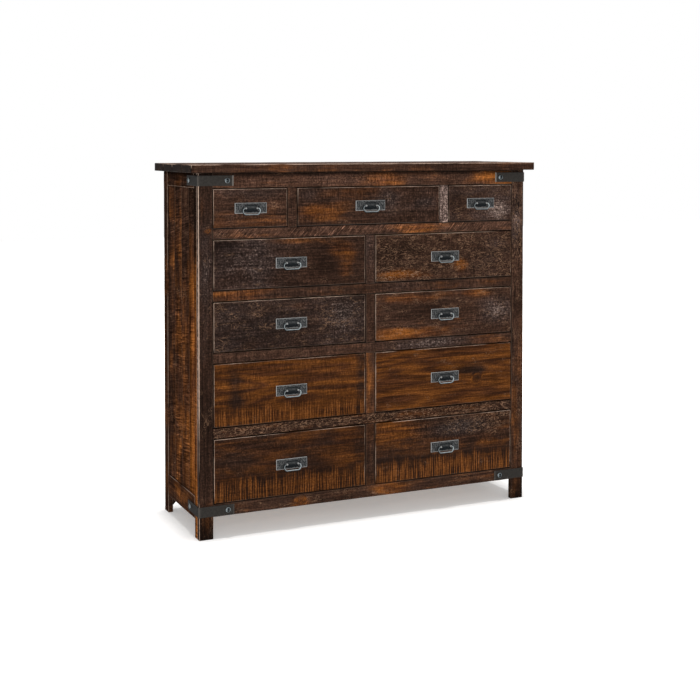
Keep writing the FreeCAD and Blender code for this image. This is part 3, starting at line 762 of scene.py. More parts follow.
# %% Looks of the ends
PANEL_PLANK = 95 * MM
PANEL_EASE = 1.8 * MM
END_LOOKS = dict(dark=0.2, warm=0.45, saw=0.8, torn=0.1, worn=0.55)
END_FRONT_LOOKS = dict(
    warm=1.2, saw=0.75, worn=0.6, dark=-0.15,
    patches=[("warm", 0.5, 1.0, 9.0, 0.25, -1.2), ("dark", 0.5, 1.0, 9.0, 0.3, 0.9),
             ("dark", 0.5, 0.35, 9.0, 0.25, -0.4), ("dark", 0.95, 0.5, 0.3, 9.0, 0.9)])
PANEL_LOOKS = [
    dict(
        warm=1.1, saw=0.6, dark=-0.15,
        patches=[("grey", 0.5, 0.9, 1.0, 0.15, 0.4), ("warm", 0.5, 0.95, 1.0, 0.2, -1.0),
                 ("dark", 0.05, 0.5, 0.12, 9.0, 0.8), ("dark", 0.5, 1.0, 9.0, 0.2, 0.6),
                 ("dark", 0.4, 0.4, 0.25, 0.3, -0.5), ("dark", 0.95, 0.5, 0.25, 9.0, 0.7)]),
    dict(warm=0.65, saw=0.9, torn=0.15, patches=[("warm", 0.5, 0.9, 1.0, 0.2, -0.6)]),
    dict(warm=0.6, saw=1.0, torn=0.15),
    dict(warm=0.5, saw=1.0, torn=0.15, dark=0.05),
]


# %% Build the ends
UNDER_SLAB_HEIGHT = 1300 * MM
LEAST_PLANK = 0.3


def cut_planks(low, high, width):
    """Divides a box into planks of one width from its front, where a narrow rest joins the last."""
    edges = list(np.arange(low[1], high[1] - width * LEAST_PLANK, width)) + [high[1]]
    pairs = zip(edges, edges[1:])
    return [((low[0], first, low[2]), (high[0], second, high[2])) for first, second in pairs]


def end_look(low, high):
    """The look of one board of an end frame: the front stile is warmer, and the top ends get painted shade under
    the slab.
    """
    upright = high[2] - low[2] > high[1] - low[1]
    looks = END_FRONT_LOOKS if upright and low[1] < 0 else END_LOOKS
    # Boards that reach up under the slab get its painted shade.
    if high[2] > UNDER_SLAB_HEIGHT:
        shade = STILE_TOP_SHADE if upright else SHADE_UNDER_SLAB
        looks = dict(looks, patches=looks.get("patches", []) + [shade])
    return looks


def case_end(side):
    boxes = boxes_of(f"end_frame_{side}")
    looks = [end_look(low, high) for low, high in boxes]
    boards = cut_boards(boxes, looks, SEEDS["ends"] + len(side))
    stand_for(join_boards(f"end_frame_{side}_boards", boards, END_TIMBER), f"end_frame_{side}")
    planks = cut_planks(*boxes_of(f"end_panel_{side}")[0], PANEL_PLANK)
    looks = PANEL_LOOKS + PANEL_LOOKS[-1:] * len(planks)
    boards = cut_boards(planks, looks, SEEDS["panels"] + len(side), ease=PANEL_EASE)
    stand_for(join_boards(f"end_panel_{side}_planks", boards, PANEL_TIMBER), f"end_panel_{side}")


case_end("left")
case_end("right")

# %% Build the slab
# The slab: rubbed on its upper arrises, with painted shade along its lower ones.
SLAB_LOOKS = dict(
    warm=0.35, grey=0.1, saw=0.4, torn=0.1, worn=0.0, worn_top=0.9,
    patches=[("dark", 0.0, 0.5, 0.006, 9.0, 0.5)])
SLAB_PLANK = 124 * MM
SLAB_EASE = 2.2 * MM


def slab():
    planks = cut_planks(*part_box("top_slab"), SLAB_PLANK)
    boards = cut_boards(planks, [SLAB_LOOKS] * len(planks), SEEDS["slab"], ease=SLAB_EASE)
    stand_for(join_boards("top_slab_planks", boards, SLAB_TIMBER), "top_slab")


slab()

# %% [markdown]
# ## The drawer fronts
# Eleven fronts, each a single board with its own character. The lower fronts show a curly figure
# along their bottom edge, the upper ones are greyer and torn. They could share one look with other
# seeds, but the eye knows this chest by its boards, so each has a look of its own.

# %% Looks of the drawer fronts
FRONT_LOOKS = {
    "row1_left": dict(
        dark=-0.05, warm=0.3, grey=0.35, saw=0.3, torn=0.1,
        patches=[("grey", 0.5, 0.9, 0.5, 0.2, 0.4), ("warm", 0.5, 0.12, 0.6, 0.2, 0.4),
                 ("torn", 0.82, 0.56, 0.07, 0.05, 1.6), ("dark", 0.82, 0.56, 0.07, 0.05, -0.4)]),
    "row1_middle": dict(
        dark=0.15, warm=0.25, grey=0.25, saw=0.5, torn=0.1,
        patches=[("warm", 0.15, 0.35, 0.15, 0.25, 0.7), ("grey", 0.07, 0.8, 0.1, 0.3, 0.4),
                 ("grey", 0.62, 0.6, 0.12, 0.6, 0.6), ("grey", 0.9, 0.5, 0.12, 0.6, 0.5),
                 ("warm", 0.5, 0.9, 0.2, 0.15, 0.4)]),
    "row1_right": dict(
        dark=-0.05, warm=0.1, grey=0.6, saw=0.5, torn=0.3,
        patches=[("grey", 0.8, 0.3, 0.2, 0.3, 0.6), ("dark", 0.8, 0.25, 0.22, 0.25, -0.35),
                 ("dark", 0.1, 0.5, 0.12, 0.5, 0.5)]),
    "row2_left": dict(
        dark=0.28, warm=0.05, grey=0.5, saw=0.35, torn=0.1,
        patches=[("grey", 0.25, 0.5, 0.35, 0.8, 0.35), ("warm", 0.5, 0.95, 0.2, 0.08, 0.8),
                 ("warm", 0.8, 0.75, 0.14, 0.2, 0.7), ("warm", 0.87, 0.3, 0.08, 0.3, 0.7),
                 ("grey", 0.8, 0.5, 0.3, 0.5, -0.4), ("dark", 0.05, 0.9, 0.1, 0.2, 0.6),
                 ("dark", 0.72, 0.45, 0.08, 0.3, 0.6)]),
    "row2_right": dict(
        dark=0.15, warm=0.1, grey=0.3, saw=0.5, torn=0.55,
        patches=[("dark", 0.15, 0.6, 0.2, 0.3, 0.5), ("warm", 0.2, 0.14, 0.2, 0.12, 1.1),
                 ("warm", 0.62, 0.3, 0.05, 0.15, 0.9), ("grey", 0.85, 0.5, 0.15, 0.6, 0.4)]),
    "row3_left": dict(
        dark=0.38, warm=0.1, grey=0.7, saw=0.4, torn=0.3,
        patches=[("warm", 0.55, 0.85, 0.1, 0.1, 0.5), ("warm", 0.65, 0.5, 0.15, 0.2, 0.4),
                 ("grey", 0.85, 0.6, 0.12, 0.4, 0.3), ("dark", 0.3, 0.3, 0.25, 0.3, 0.4)]),
    "row3_right": dict(
        dark=-0.05, warm=0.25, grey=0.2, saw=0.4, torn=0.3,
        patches=[("dark", 0.45, 0.55, 0.2, 0.2, 0.5), ("warm", 0.2, 0.1, 0.25, 0.12, 1.1),
                 ("warm", 0.25, 0.85, 0.2, 0.1, 0.7), ("warm", 0.7, 0.92, 0.15, 0.08, 0.7),
                 ("grey", 0.88, 0.5, 0.16, 0.35, 0.8)]),
    "row4_left": dict(
        dark=0.5, warm=0.95, saw=0.4,
        patches=[("curl", 0.5, 0.0, 1.4, 0.34, 1.0), ("warm", 0.13, 0.6, 0.05, 0.6, -0.5),
                 ("warm", 0.97, 0.5, 0.04, 1.0, -0.5)]),
    "row4_right": dict(
        dark=0.43, warm=1.05, saw=0.1, torn=0.1, knots=[(0.74, 0.42, 14 * MM)],
        patches=[("warm", 0.66, 0.6, 0.1, 0.1, -0.6), ("dark", 0.66, 0.6, 0.08, 0.09, 0.5),
                 ("warm", 0.78, 0.5, 0.07, 0.2, -0.4), ("dark", 0.88, 0.35, 0.03, 0.1, 0.4)]),
    "row5_left": dict(
        dark=0.55, warm=0.55, grey=0.1, saw=0.4,
        patches=[("curl", 0.5, 0.05, 1.4, 0.33, 1.0), ("grey", 0.2, 0.85, 0.2, 0.2, 0.4),
                 ("warm", 0.85, 0.7, 0.12, 0.3, 0.3)]),
    "row5_right": dict(
        dark=0.3, warm=0.5, saw=0.4, torn=0.1,
        patches=[("curl", 0.5, 0.05, 1.4, 0.32, 1.0), ("warm", 0.1, 0.85, 0.14, 0.2, 0.8),
                 ("grey", 0.62, 0.8, 0.38, 0.24, 1.0), ("torn", 0.78, 0.9, 0.28, 0.2, 0.6),
                 ("dark", 0.7, 0.85, 0.3, 0.15, 0.35)]),
}

print("drawer fronts:", len(FRONT_LOOKS))

# %% Build the drawer fronts
# Painted shade under the fronts: their lower arrises are not rubbed, so they keep the dark arris band.
SHADED_LOWER_EDGE = ("worn", 0.5, 0.0, 2.0, 0.05, -0.75)
FRONT_WORN = 0.9
FRONT_WANDER = 1.3 * MM


def drawer_fronts():
    for i, (name, looks) in enumerate(FRONT_LOOKS.items()):
        looks = dict(looks, worn=FRONT_WORN, patches=looks["patches"] + [SHADED_LOWER_EDGE])
        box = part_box(f"{name}_front")
        boards = cut_boards([box], [looks], SEEDS["fronts"] + i, wander=FRONT_WANDER)
        stand_for(join_boards(f"{name}_front_board", boards, FRONT_TIMBER), f"{name}_front")


drawer_fronts()

# %% [markdown]
# ## Pale wood inside
# The drawer boxes, runners and frames keep the outline of their solids, dovetails included. Each
# solid is copied with its grain along its longest side, and a small bevel shows the joints. Near the
# front the pale pieces turn black, as dark stain lapped over them and as painted shade in the gaps,
# so no pale line shows there. The back and the rear bracket are stained dark all over.

# %% Plain wood material
INNER_LIGHT = stain("c9a273")
INNER_DARK = stain("a67c4e")
# Depths over which the inner pieces turn black: stain lapped over, and painted shade in the gaps.
FRAME_LAP_AND_SHADE = (-190 * MM, -165 * MM)
BOX_LAP_AND_SHADE = (-199.7 * MM, -198.7 * MM)


def plain_wood(name, light_tone, dark_tone, roughness=0.5, sheen=0.4, lap_and_shade=None):
    material, tree = new_material(name)
    grain = use(GRAIN, Place=attribute(tree, "grain_place", "Vector"))
    banded = grain.bands * 0.5 + grain.streaks * 0.7
    colour = mix(ramp(banded, 0.25, 0.95), dark_tone, light_tone)
    colour = scaled(colour, grain.fibres * 0.3 + 0.85)
    colour = mix(grain.pores * 0.25, colour, scaled(colour, 0.5))
    # Black near the front: stain lapped over, and painted shade in the gaps.
    if lap_and_shade:
        depth = split(own_place(tree))[1]
        colour = mix(ramp(depth, *lap_and_shade), BLACK, colour)
    rough = grain.fibres * 0.2 + roughness
    coated(colour, rough, grain.fibres - grain.pores, strength=0.4, depth=0.2 * MM, sheen=sheen)
    return material


BOX_WOOD = plain_wood("drawer box wood", INNER_LIGHT, INNER_DARK, 0.35, lap_and_shade=BOX_LAP_AND_SHADE)
INNER_WOOD = plain_wood("inner wood", stain("b18c60"), stain("8c6a44"), lap_and_shade=FRAME_LAP_AND_SHADE)
BACK_WOOD = plain_wood("back wood", stain("45301f"), stain("2a1b12"), sheen=0.1)
print("plain woods:", [material.name for material in (BOX_WOOD, INNER_WOOD, BACK_WOOD)])


# %% Copy the inner boards
JOINT_BEVEL = 0.5 * MM


def copy_solids(name, node, material):
    """A copy of a node's solids, each with its own grain."""
    boards = []
    for i, faces in enumerate(solids_of(node)):
        spots = sorted({corner for face in faces for corner in face})
        number = {spot: k for k, spot in enumerate(spots)}
        points = np.array(spots)
        numbered = [[number[corner] for corner in face] for face in faces]
        board = {"points": points, "faces": numbered, "rim": np.ones(len(points))}
        board["grain_place"] = grain_places(points, *corners_of(faces), i + len(node))
        board.update({label: np.zeros(len(points)) for label in MARKS})
        boards.append(board)
    piece = join_boards(name, boards, material, smooth=False)
    tool = piece.modifiers.new("eased edges", "BEVEL")
    tool.width = JOINT_BEVEL
    tool.segments = 1
    tool.limit_method = "ANGLE"
    stand_for(piece, node)


def inner_boards():
    for name in FRONT_LOOKS:
        copy_solids(f"{name}_drawer_box", f"{name}_box", BOX_WOOD)
    for node in ("drawer_runners", "drawer_guides", "slab_frame"):
        copy_solids(f"{node}_boards", node, INNER_WOOD)
    copy_solids("back_board", "back_panel", BACK_WOOD)
    copy_solids("rear_bracket", "rear_bracket_rail", BACK_WOOD)


inner_boards()

# %% [markdown]
# ## Iron and pewter
# The straps are matt blackened iron. The plates, bails and bolts are cast and hammered, dark in the
# hollows and rubbed bright on the plate's filed edge. Painted highlights and painted shade are added on
# the boss, the post heads, the bail's rod, the bolt heads and the straps. The form says where all that
# is, so each metal piece carries a bright attribute from its own mesh code, and the material breaks it
# up with noise.


# %% Hammered metal
def hammer_group():
    tree, given = new_group("hammered metal", Dimple=5 * MM, Bright=0.0, Cloudy=0.6)
    feeds = {"Vector": given.place, "Scale": 1.0 / given.dimple}
    cells = work("ShaderNodeTexVoronoi", feeds, "Distance", feature="SMOOTH_F1")
    cloud = noise(given.place, (160, 160, 160), detail=4)
    share = ramp(given.bright + (cloud - 0.5) * given.cloudy, 0.05, 0.95)
    return close_group(tree, Height=cells, Cloud=cloud, Share=share)


HAMMER = hammer_group()
METAL_SHEEN = 0.1
HAMMER_STRENGTH = 0.6


def metal(name, dark_tone, bright_tone, roughness, dimple, depth, metallic=0.0, cloudy=0.6):
    material, tree = new_material(name)
    places = dict(Place=own_place(tree), Bright=attribute(tree, "bright"))
    hammered = use(HAMMER, Dimple=dimple, Cloudy=cloudy, **places)
    colour = mix(hammered.share, dark_tone, bright_tone)
    rough = hammered.cloud * 0.25 + roughness
    coated(colour, rough, hammered.height, HAMMER_STRENGTH, depth, METAL_SHEEN, metallic)
    return material


IRON = stain("171513"), stain("b0a8a0")
BOLT_TONES = stain("0e1113"), stain("8a9396")
PEWTER = stain("0b1013"), stain("979796")
RUBBED_PEWTER = stain("161d21"), stain("a9b1b3")
STRAP_IRON = metal("strap iron", *IRON, roughness=0.6, dimple=8 * MM, depth=0.1 * MM, cloudy=0.12)
BOLT_IRON = metal("bolt iron", *BOLT_TONES, roughness=0.35, dimple=6 * MM, depth=0.2 * MM, metallic=0.3)
pewter = dict(dimple=4 * MM, metallic=0.4, cloudy=0.4)
PLATE_METAL = metal("pull plate metal", *PEWTER, roughness=0.4, depth=0.2 * MM, **pewter)
BAIL_METAL = metal("bail metal", *RUBBED_PEWTER, roughness=0.3, depth=0.1 * MM, **pewter)
print("metals:", [material.name for material in (STRAP_IRON, BOLT_IRON, PLATE_METAL, BAIL_METAL)])

# %% [markdown]
# ## Forms for the metal
# A bail and a strap are both one section carried along a bent path, so one function makes them. The
# path lies in a plane, and the section is given as steps out of the path and along the plane's
# normal. A plate is a height field: a beveled sheet with a domed boss and beaten dimples.


# %% Sweep a section along a flat path
def ring_faces(rings, count):
    """The faces between rings of points, with a cap at both ends."""
    faces = []
    for start in range(0, (rings - 1) * count, count):
        for k in range(count):
            after = (k + 1) % count
            faces.append((start + k, start + after, start + count + after, start + count + k))
    faces.append(tuple(reversed(range(count))))
    faces.append(tuple(range((rings - 1) * count, rings * count)))
    return faces


def sweep(path, normal, sections):
    """A closed tube through one section per path point, capped at both ends."""
    path = np.array(path, float)
    ways = np.gradient(path, axis=0)
    ways /= np.linalg.norm(ways, axis=1, keepdims=True)
    sides = np.cross(np.array(normal, float), ways)
    points = []
    for spot, side, ring in zip(path, sides, sections):
        points += [spot + a * side + b * np.array(normal) for a, b in ring]
    return np.array(points), ring_faces(len(path), len(sections[0]))


PATH_STEPS = 8


def smooth_path(corners):
    """A smooth curve through corner points, with even steps between each two."""
    corners = [np.array(c, float) for c in corners]
    ends = [2 * corners[0] - corners[1]] + corners + [2 * corners[-1] - corners[-2]]
    path = []
    for a, b, c, d in zip(ends, ends[1:], ends[2:], ends[3:]):
        for share in np.arange(PATH_STEPS) / PATH_STEPS:
            lead = b * 2 + (c - a) * share + (2 * a - 5 * b + 4 * c - d) * share**2
            path.append((lead + (3 * b - a - 3 * c + d) * share**3) / 2)
    return path + [corners[-1]]


def metal_mesh(name, parts, material, smooth=True):
    """One mesh from several (points, faces, bright) parts."""
    mesh = joined_mesh(name, [part[:2] for part in parts], material, smooth)
    write_marks(mesh, "bright", [part[2] for part in parts])
    shape = bmesh.new()
    shape.from_mesh(mesh)
    bmesh.ops.recalc_face_normals(shape, faces=shape.faces)
    shape.to_mesh(mesh)
    shape.free()
    return mesh


# %% [markdown]
# ## The backplate and its posts
# The backplate is beaten from thin sheet: its left and right thirds are dimpled, its edge is filed
# to a bevel that shines, and the middle is raised to a smooth boss, with painted reflection bands, a
# painted highlight above and painted shade below. Two turned posts carry the bail.

# %% Backplate height field
PLATE_STEP = 1.1 * MM
PLATE_BEVEL = 1.6 * MM
BOSS_SIDE = 3.5 * MM
DIMPLE_REACH = 2.6 * MM
DIMPLE_DEPTH = 0.75 * MM
BOSS_HALF = (28 * MM, 15 * MM)
SHEET = 2.5 * MM
BOSS_RISE = 4.3 * MM
BOSS_CORNER = 3 * MM
DIMPLES = 260
DIMPLE_SEED = 41
# Pitch of the painted reflection bands on the boss.
REFLECTION_BAND_PITCH = 4.2 * MM


def boss_share(x, z):
    """0 outside the boss, 1 on its top, with a smooth slope between."""
    edge_x, edge_z = BOSS_HALF[0] - np.abs(x), BOSS_HALF[1] - np.abs(z)
    corner = (edge_x + edge_z) / math.sqrt(2) - BOSS_CORNER
    near = np.minimum(np.minimum(edge_x, edge_z), corner)
    share = np.clip(near / BOSS_SIDE, 0, 1)
    return share * share * (3 - 2 * share)


def plate_relief(width, height):
    """A grid over the backplate: across, up, how far it stands out, and how bright it is."""
    draw = random.Random(DIMPLE_SEED)
    across = np.linspace(-width / 2, width / 2, round(width / PLATE_STEP) + 1)
    up = np.linspace(-height / 2, height / 2, round(height / PLATE_STEP) + 1)
    x, z = np.meshgrid(across, up, indexing="ij")
    edge = np.minimum(width / 2 - np.abs(x), height / 2 - np.abs(z))
    boss = boss_share(x, z)
    level = SHEET * (0.35 + 0.65 * np.clip(edge / PLATE_BEVEL, 0, 1))
    hollow = np.zeros_like(x)
    for _ in range(DIMPLES):
        at_x, at_z = draw.uniform(-width / 2, width / 2), draw.uniform(-height / 2, height / 2)
        reach = DIMPLE_REACH * draw.uniform(0.7, 1.3)
        away = ((x - at_x) ** 2 + (z - at_z) ** 2) / reach**2
        hollow = np.maximum(hollow, np.clip(1 - away, 0, 1) * draw.uniform(0.5, 1.0))
    inside = np.clip((edge - PLATE_BEVEL) / PLATE_BEVEL, 0, 1) * (1 - boss)
    level = level - DIMPLE_DEPTH * hollow * inside
    dome = 1 - 0.12 * ((x / BOSS_HALF[0]) ** 2 + (z / BOSS_HALF[1]) ** 2)
    level = level + BOSS_RISE * boss * dome
    # Painted reflection bands across the boss, a painted highlight on its upper slope and painted shade on its
    # lower slope.
    bands = 0.5 + 0.5 * np.sin(z / REFLECTION_BAND_PITCH + 0.8)
    bright = 0.32 - 0.24 * hollow * inside
    bright = np.where(edge < PLATE_BEVEL * 1.1, 1.05, bright)
    lit_and_shaded_slope = boss * (1 - boss) * 4
    bright = bright * (1 - boss) + boss * (0.06 + 0.16 * bands) + lit_and_shaded_slope * np.where(z > 0, 0.15, -0.2)
    return x, z, level, bright


# %% Close the backplate
def backplate(width, height):
    """The relief with its rim and a flat rear, standing on y = 0 and facing -Y."""
    x, z, level, bright = plate_relief(width, height)
    front = np.stack([x, -level, z], -1).reshape(-1, 3)
    rear = np.stack([x, np.zeros_like(x), z], -1).reshape(-1, 3)
    rows, columns = x.shape
    index = np.arange(rows * columns).reshape(rows, columns)
    quads = np.stack([index[:-1, :-1], index[1:, :-1], index[1:, 1:], index[:-1, 1:]], -1)
    faces = [tuple(quad) for quad in quads.reshape(-1, 4)]
    rim = list(index[:, 0]) + list(index[-1, 1:]) + list(index[-2::-1, -1]) + list(index[0, -2:0:-1])
    back = {spot: len(front) + k for k, spot in enumerate(rim)}
    for first, second in zip(rim, rim[1:] + rim[:1]):
        faces.append((first, second, back[second], back[first]))
    faces.append(tuple(back[spot] for spot in rim))
    points = np.concatenate([front, rear[rim]])
    return points, faces, np.concatenate([bright.ravel(), np.full(len(rim), 0.6)])


# %% Turned post
POST_SPACING = 46 * MM
POST_SIDES = 20
POST_HEAD = 9
POST_PROFILE = [(4.4, 0.0), (4.4, 3.6), (4.0, 4.6), (3.2, 5.4), (3.1, 6.6), (3.5, 7.6),
                (4.1, 9.2), (4.3, 11.0), (4.1, 12.8), (3.3, 14.3), (2.0, 15.2), (0.6, 15.45)]


def post(side):
    """A round post, turned from a profile of radius and height in millimetres."""
    points, bright = [], []
    for radius, out in POST_PROFILE:
        for k in range(POST_SIDES):
            angle = math.tau * k / POST_SIDES
            x, z = radius * MM * math.cos(angle), radius * MM * math.sin(angle)
            points.append((side * POST_SPACING / 2 + x, -out * MM, z))
            # Painted highlight on the post heads.
            bright.append(0.25 if out < POST_HEAD else 0.65)
    return np.array(points), ring_faces(len(POST_PROFILE), POST_SIDES), np.array(bright)


# %% [markdown]
# ## The bail
# The bail is a forged rod: thin where its pins turn in the posts, full at its shoulders and its grip.
# A round curve could make it, but a section for each step lets its thickness change on the way.

# %% Forged bail
ROD_SIDES = 14
ROD_RADIUS = 2.8 * MM
PIN_RADIUS = 1.7 * MM
PIN_END = 26.5 * MM
SHOULDER = 3.5 * MM
BAIL_CORNERS = [(20.0, 0.0), (27.2, 0.0), (31.6, -0.9), (35.7, -9.0), (34.0, -17.0), (26.5, -24.6),
                (13.0, -25.2)]


def forged_bail():
    half = [(x * MM, 0, z * MM) for x, z in BAIL_CORNERS]
    corners = half + [(0, 0, half[-1][2])] + [(-x, y, z) for x, y, z in reversed(half)]
    path = smooth_path(corners)
    angles = [math.tau * k / ROD_SIDES for k in range(ROD_SIDES)]
    sections, bright = [], []
    for x, _, z in path:
        share = min(1.0, max(0.0, (abs(x) - PIN_END) / SHOULDER)) if z > -4 * MM else 1.0
        grip = 1.0 - 0.12 * min(1.0, abs(abs(x) - 20 * MM) / (12 * MM)) * (z < -20 * MM)
        radius = (PIN_RADIUS + (ROD_RADIUS - PIN_RADIUS) * share) * min(1.0, 0.94 + 0.06 * grip)
        sections.append([(radius * math.cos(angle), radius * math.sin(angle)) for angle in angles])
        # Painted highlight on one side of the rod's section and painted shade on the opposite side.
        bright += [0.42 + 0.5 * math.cos(angle) for angle in angles]
    points, faces = sweep(path, (0, 1, 0), sections)
    return points, faces, np.array(bright)


# %% Hang a pull on every drawer
def pulls():
    low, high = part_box("row1_left_plate")
    plate = backplate(high.x - low.x, high.z - low.z)
    plate_mesh = metal_mesh("backplate", [plate, post(-1), post(1)], PLATE_METAL)
    bail_mesh = metal_mesh("forged_bail", [forged_bail()], BAIL_METAL)
    joints = {joint["name"]: joint for joint in frame["joints"]}
    for name in FRONT_LOOKS:
        low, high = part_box(f"{name}_plate")
        centre = (low + high) / 2
        spot = (centre.x, high.y, centre.z)
        stand_for(add_object(f"{name}_backplate", plate_mesh, spot), f"{name}_plate")
        hinge = joints[f"{name}_swing"]["pos_m"]
        stand_for(add_object(f"{name}_forged_bail", bail_mesh, hinge), f"{name}_bail")


pulls()

# %% [markdown]
# ## Corner straps and bolts
# A strap is flat iron bent hot round the corner, so its bend is round. The bend and the ends of the
# upper straps carry a painted highlight, and the leg along the side of the case painted shade. The
# bolts have hammered heads: eight flats round a low dome, with painted highlights on the flats.

# %% Straps
STRAP_THICKNESS = 3 * MM
STRAP_BEND = 4.2 * MM
STRAP_STEP = 7 * MM
# Reach of the painted highlights on the strap bend and ends.
STRAP_HIGHLIGHT_REACH = 3 * MM
BEND_STEPS = 7
UPPER_STRAPS = 700 * MM


def strap_section(height):
    """A flat bar's section with small round corners, with extra points near its edges."""
    thin, half, ease = STRAP_THICKNESS / 2, height / 2, 0.8 * MM
    up = [-half + ease, -half + 3 * MM, -half / 2, 0, half / 2, half - 3 * MM, half - ease]
    outer = [(thin, z) for z in up] + [(thin - 0.3 * ease, half - 0.3 * ease), (thin - ease, half)]
    inner = [(-thin, z) for z in reversed(up)]
    bottom = [(-thin + ease, -half), (thin - ease, -half), (thin - 0.3 * ease, -half + 0.3 * ease)]
    return outer + [(-thin + ease, half)] + inner + bottom


def highlight_near(spot, place):
    """1 at a place on the plan, and nothing a few millimetres away from it: where a painted highlight lies."""
    away = np.linalg.norm(spot[:, :2] - place, axis=1)
    return np.exp(-((away / STRAP_HIGHLIGHT_REACH) ** 2))


def strap(low, high):
    """An L of flat bar round the front corner of the case, inside its box."""
    side = 1 if low[0] > 0 else -1
    outer_x, outer_y = (high[0] if side > 0 else low[0]), low[1]
    far_x, far_y = (low[0] if side > 0 else high[0]), high[1]
    middle = STRAP_BEND - STRAP_THICKNESS / 2
    centre = np.array([outer_x - side * STRAP_BEND, outer_y + STRAP_BEND])
    front_y, side_x = outer_y + STRAP_THICKNESS / 2, outer_x - side * STRAP_THICKNESS / 2
    count = round(abs(centre[0] - far_x) / STRAP_STEP)
    path = [(x, front_y) for x in np.linspace(far_x, centre[0], count)[:-1]]
    for share in np.linspace(0, 1, BEND_STEPS):
        angle = share * math.pi / 2
        path.append((centre[0] + side * middle * math.sin(angle), centre[1] - middle * math.cos(angle)))
    path += [(side_x, y) for y in np.linspace(centre[1], far_y, count)[1:]]
    level = (low[2] + high[2]) / 2
    path = [(x, y, level) for x, y in path]
    ring = strap_section(high[2] - low[2])
    ring = [(a, b) if side > 0 else (-a, b) for a, b in ring]
    points, faces = sweep(path, (0, 0, 1), [ring] * len(path))
    points[:, :2] = np.clip(points[:, :2], low[:2], high[:2])
    spot = np.repeat(np.array(path), len(ring), axis=0)
    # Painted highlights on the bend and, brighter on the upper straps, on the ends; painted shade on the side leg.
    bend_highlight = highlight_near(spot, (outer_x, outer_y))
    ends = np.maximum(highlight_near(spot, (far_x, front_y)), highlight_near(spot, (side_x, far_y)))
    top = 1.0 if level > UPPER_STRAPS else 0.3
    shaded_flank = spot[:, 1] > centre[1] + 1 * MM
    return points, faces, np.where(shaded_flank, -0.3, 0.16) + 0.4 * bend_highlight + 0.4 * top * ends


def straps():
    parts = [strap(*box) for box in boxes_of("corner_straps")]
    mesh = metal_mesh("corner_strap_bars", parts, STRAP_IRON)
    stand_for(add_object("corner_strap_bars", mesh), "corner_straps")


straps()

# %% Bolts
BOLT_RINGS = [(1.0, 0.0), (1.0, 0.28), (0.93, 0.42), (0.72, 0.74), (0.45, 0.95), (0.15, 1.0)]
# Painted highlights on the bolt heads: brightest at the shoulder, dark on top.
BOLT_HIGHLIGHT_RINGS = [0.2, 0.5, 0.85, 0.35, 0.15, 0.1]
BOLT_SIDES = 8
BOLT_TWIST = 0.12


def bolt_head(low, high):
    """A faceted dome standing on a strap, along the thin side of its box."""
    size = high - low
    out = int(np.argmin(size))
    others = [k for k in range(3) if k != out]
    centre = (low + high) / 2
    base, top = (high[out], low[out]) if centre[out] < 0 or out == 1 else (low[out], high[out])
    points, bright = [], []
    for ring, (radius, rise) in enumerate(BOLT_RINGS):
        for k in range(BOLT_SIDES):
            angle = math.tau * (k + 0.5 + BOLT_TWIST * (ring % 2)) / BOLT_SIDES
            spot = np.zeros(3)
            for axis, swing in zip(others, (math.cos(angle), math.sin(angle))):
                spot[axis] = centre[axis] + size[axis] / 2 * radius * swing
            spot[out] = base + (top - base) * rise
            points.append(spot)
            # Two opposite flats get a brighter painted highlight.
            bright.append(BOLT_HIGHLIGHT_RINGS[ring] + 0.25 * math.cos(angle * 2))
    return np.array(points), ring_faces(len(BOLT_RINGS), BOLT_SIDES), np.array(bright)


def bolts():
    parts = [bolt_head(*box) for box in boxes_of("strap_bolts")]
    mesh = metal_mesh("strap_bolt_heads", parts, BOLT_IRON, smooth=False)
    stand_for(add_object("strap_bolt_heads", mesh), "strap_bolts")


bolts()

# %% [markdown]
# ## Floor and light
# The floor is pale and the background white, as in a studio. The lamps and the sky light the chest
# at a plain level. Only the camera and the reflections see a pure white sky. The floor glows a little
# for them too, more so away from the chest, so that it fades into the white and keeps its shadow.

# %% Floor
FLOOR_SIZE = 30.0
FLOOR_GLOW_NEAR = 0.27
FLOOR_GLOW_FAR = 0.75
GLOW_REACH = (0.9, 2.2)
FLOOR_TONES = (0.80, 0.79, 0.78, 1), (0.84, 0.83, 0.82, 1)


def seen_directly(tree):
    """1 for rays from the camera and in reflections, where the studio shows as white."""
    rays = fit("ShaderNodeLightPath", {}, tree).outputs
    kinds = ("Camera", "Glossy", "Transmission")
    camera, glossy, clear = [Value(rays[f"Is {kind} Ray"]) for kind in kinds]
    return sums("MAXIMUM", camera, sums("MAXIMUM", glossy, clear))


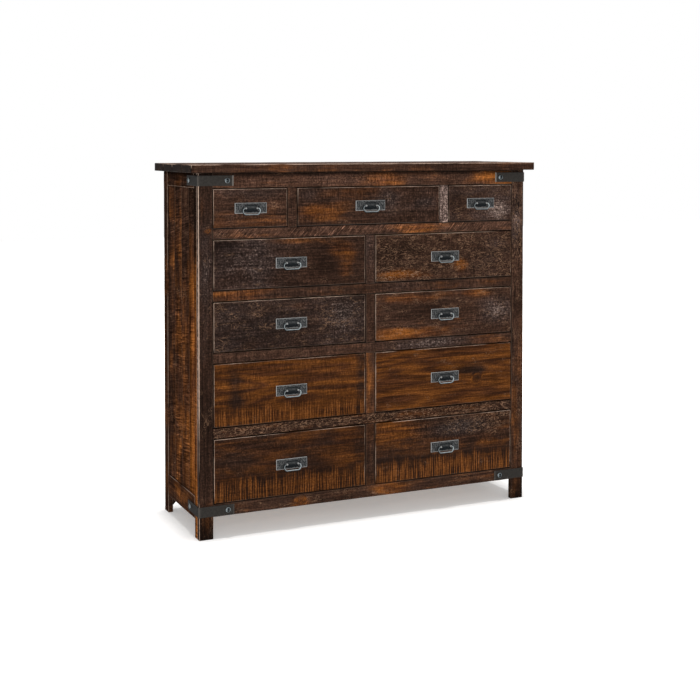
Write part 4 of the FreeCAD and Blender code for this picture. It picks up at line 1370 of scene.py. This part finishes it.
def floor():
    mesh = bpy.data.meshes.new("floor")
    half = FLOOR_SIZE / 2
    corners = [(-half, -half, 0), (half, -half, 0), (half, half, 0), (-half, half, 0)]
    mesh.from_pydata(corners, [], [(0, 1, 2, 3)])
    material, tree = new_material("studio floor")
    place = own_place(tree)
    matt = work("ShaderNodeBsdfDiffuse", {"Color": mix(noise(place, detail=2), *FLOOR_TONES)})
    far = ramp(work("ShaderNodeVectorMath", {0: place}, "Value", operation="LENGTH"), *GLOW_REACH)
    glow = (far * (FLOOR_GLOW_FAR - FLOOR_GLOW_NEAR) + FLOOR_GLOW_NEAR) * seen_directly(tree)
    light = work("ShaderNodeEmission", {"Color": (1, 1, 1, 1), "Strength": glow})
    fit("ShaderNodeOutputMaterial", {"Surface": work("ShaderNodeAddShader", {0: matt, 1: light})})
    mesh.materials.append(material)
    add_object("floor", mesh)
    print("floor:", FLOOR_SIZE, "m square")


floor()

# %% Sky and lamps
SKY_LEVEL = 0.45
SUN_LEVEL = 2.7
SUN_WIDTH = 7.0
SUN_PLACE = (0, 0, 5)
SUN_TURN = (0.01, 0.005, 0)
SOFTBOX_POWER = 85
SOFTBOX_PLACE = (-1.6, -4.4, 1.6)
SOFTBOX_TURN = (math.radians(82), 0, math.radians(-20))
SOFTBOX_SIZE = (3.4, 2.6)


def sky():
    world = bpy.data.worlds.new("studio")
    bpy.context.scene.world = world
    world.use_nodes = True
    tree = world.node_tree
    tree.nodes.clear()
    level = seen_directly(tree) * (1.0 - SKY_LEVEL) + SKY_LEVEL
    light = work("ShaderNodeBackground", {"Color": (1, 1, 1, 1), "Strength": level})
    fit("ShaderNodeOutputWorld", {"Surface": light})


def lamp(name, kind, energy, place, turn):
    light = bpy.data.lights.new(name, kind)
    light.energy = energy
    add_object(name, light, place, turn)
    return light


sky()
overhead = lamp("overhead lamp", "SUN", SUN_LEVEL, SUN_PLACE, SUN_TURN)
overhead.angle = math.radians(SUN_WIDTH)
softbox = lamp("front softbox", "AREA", SOFTBOX_POWER, SOFTBOX_PLACE, SOFTBOX_TURN)
softbox.shape = "RECTANGLE"
softbox.size, softbox.size_y = SOFTBOX_SIZE
bpy.context.scene.view_settings.view_transform = "Standard"
print("lamps:", overhead.name, "and", softbox.name)

# %% [markdown] ## Finish
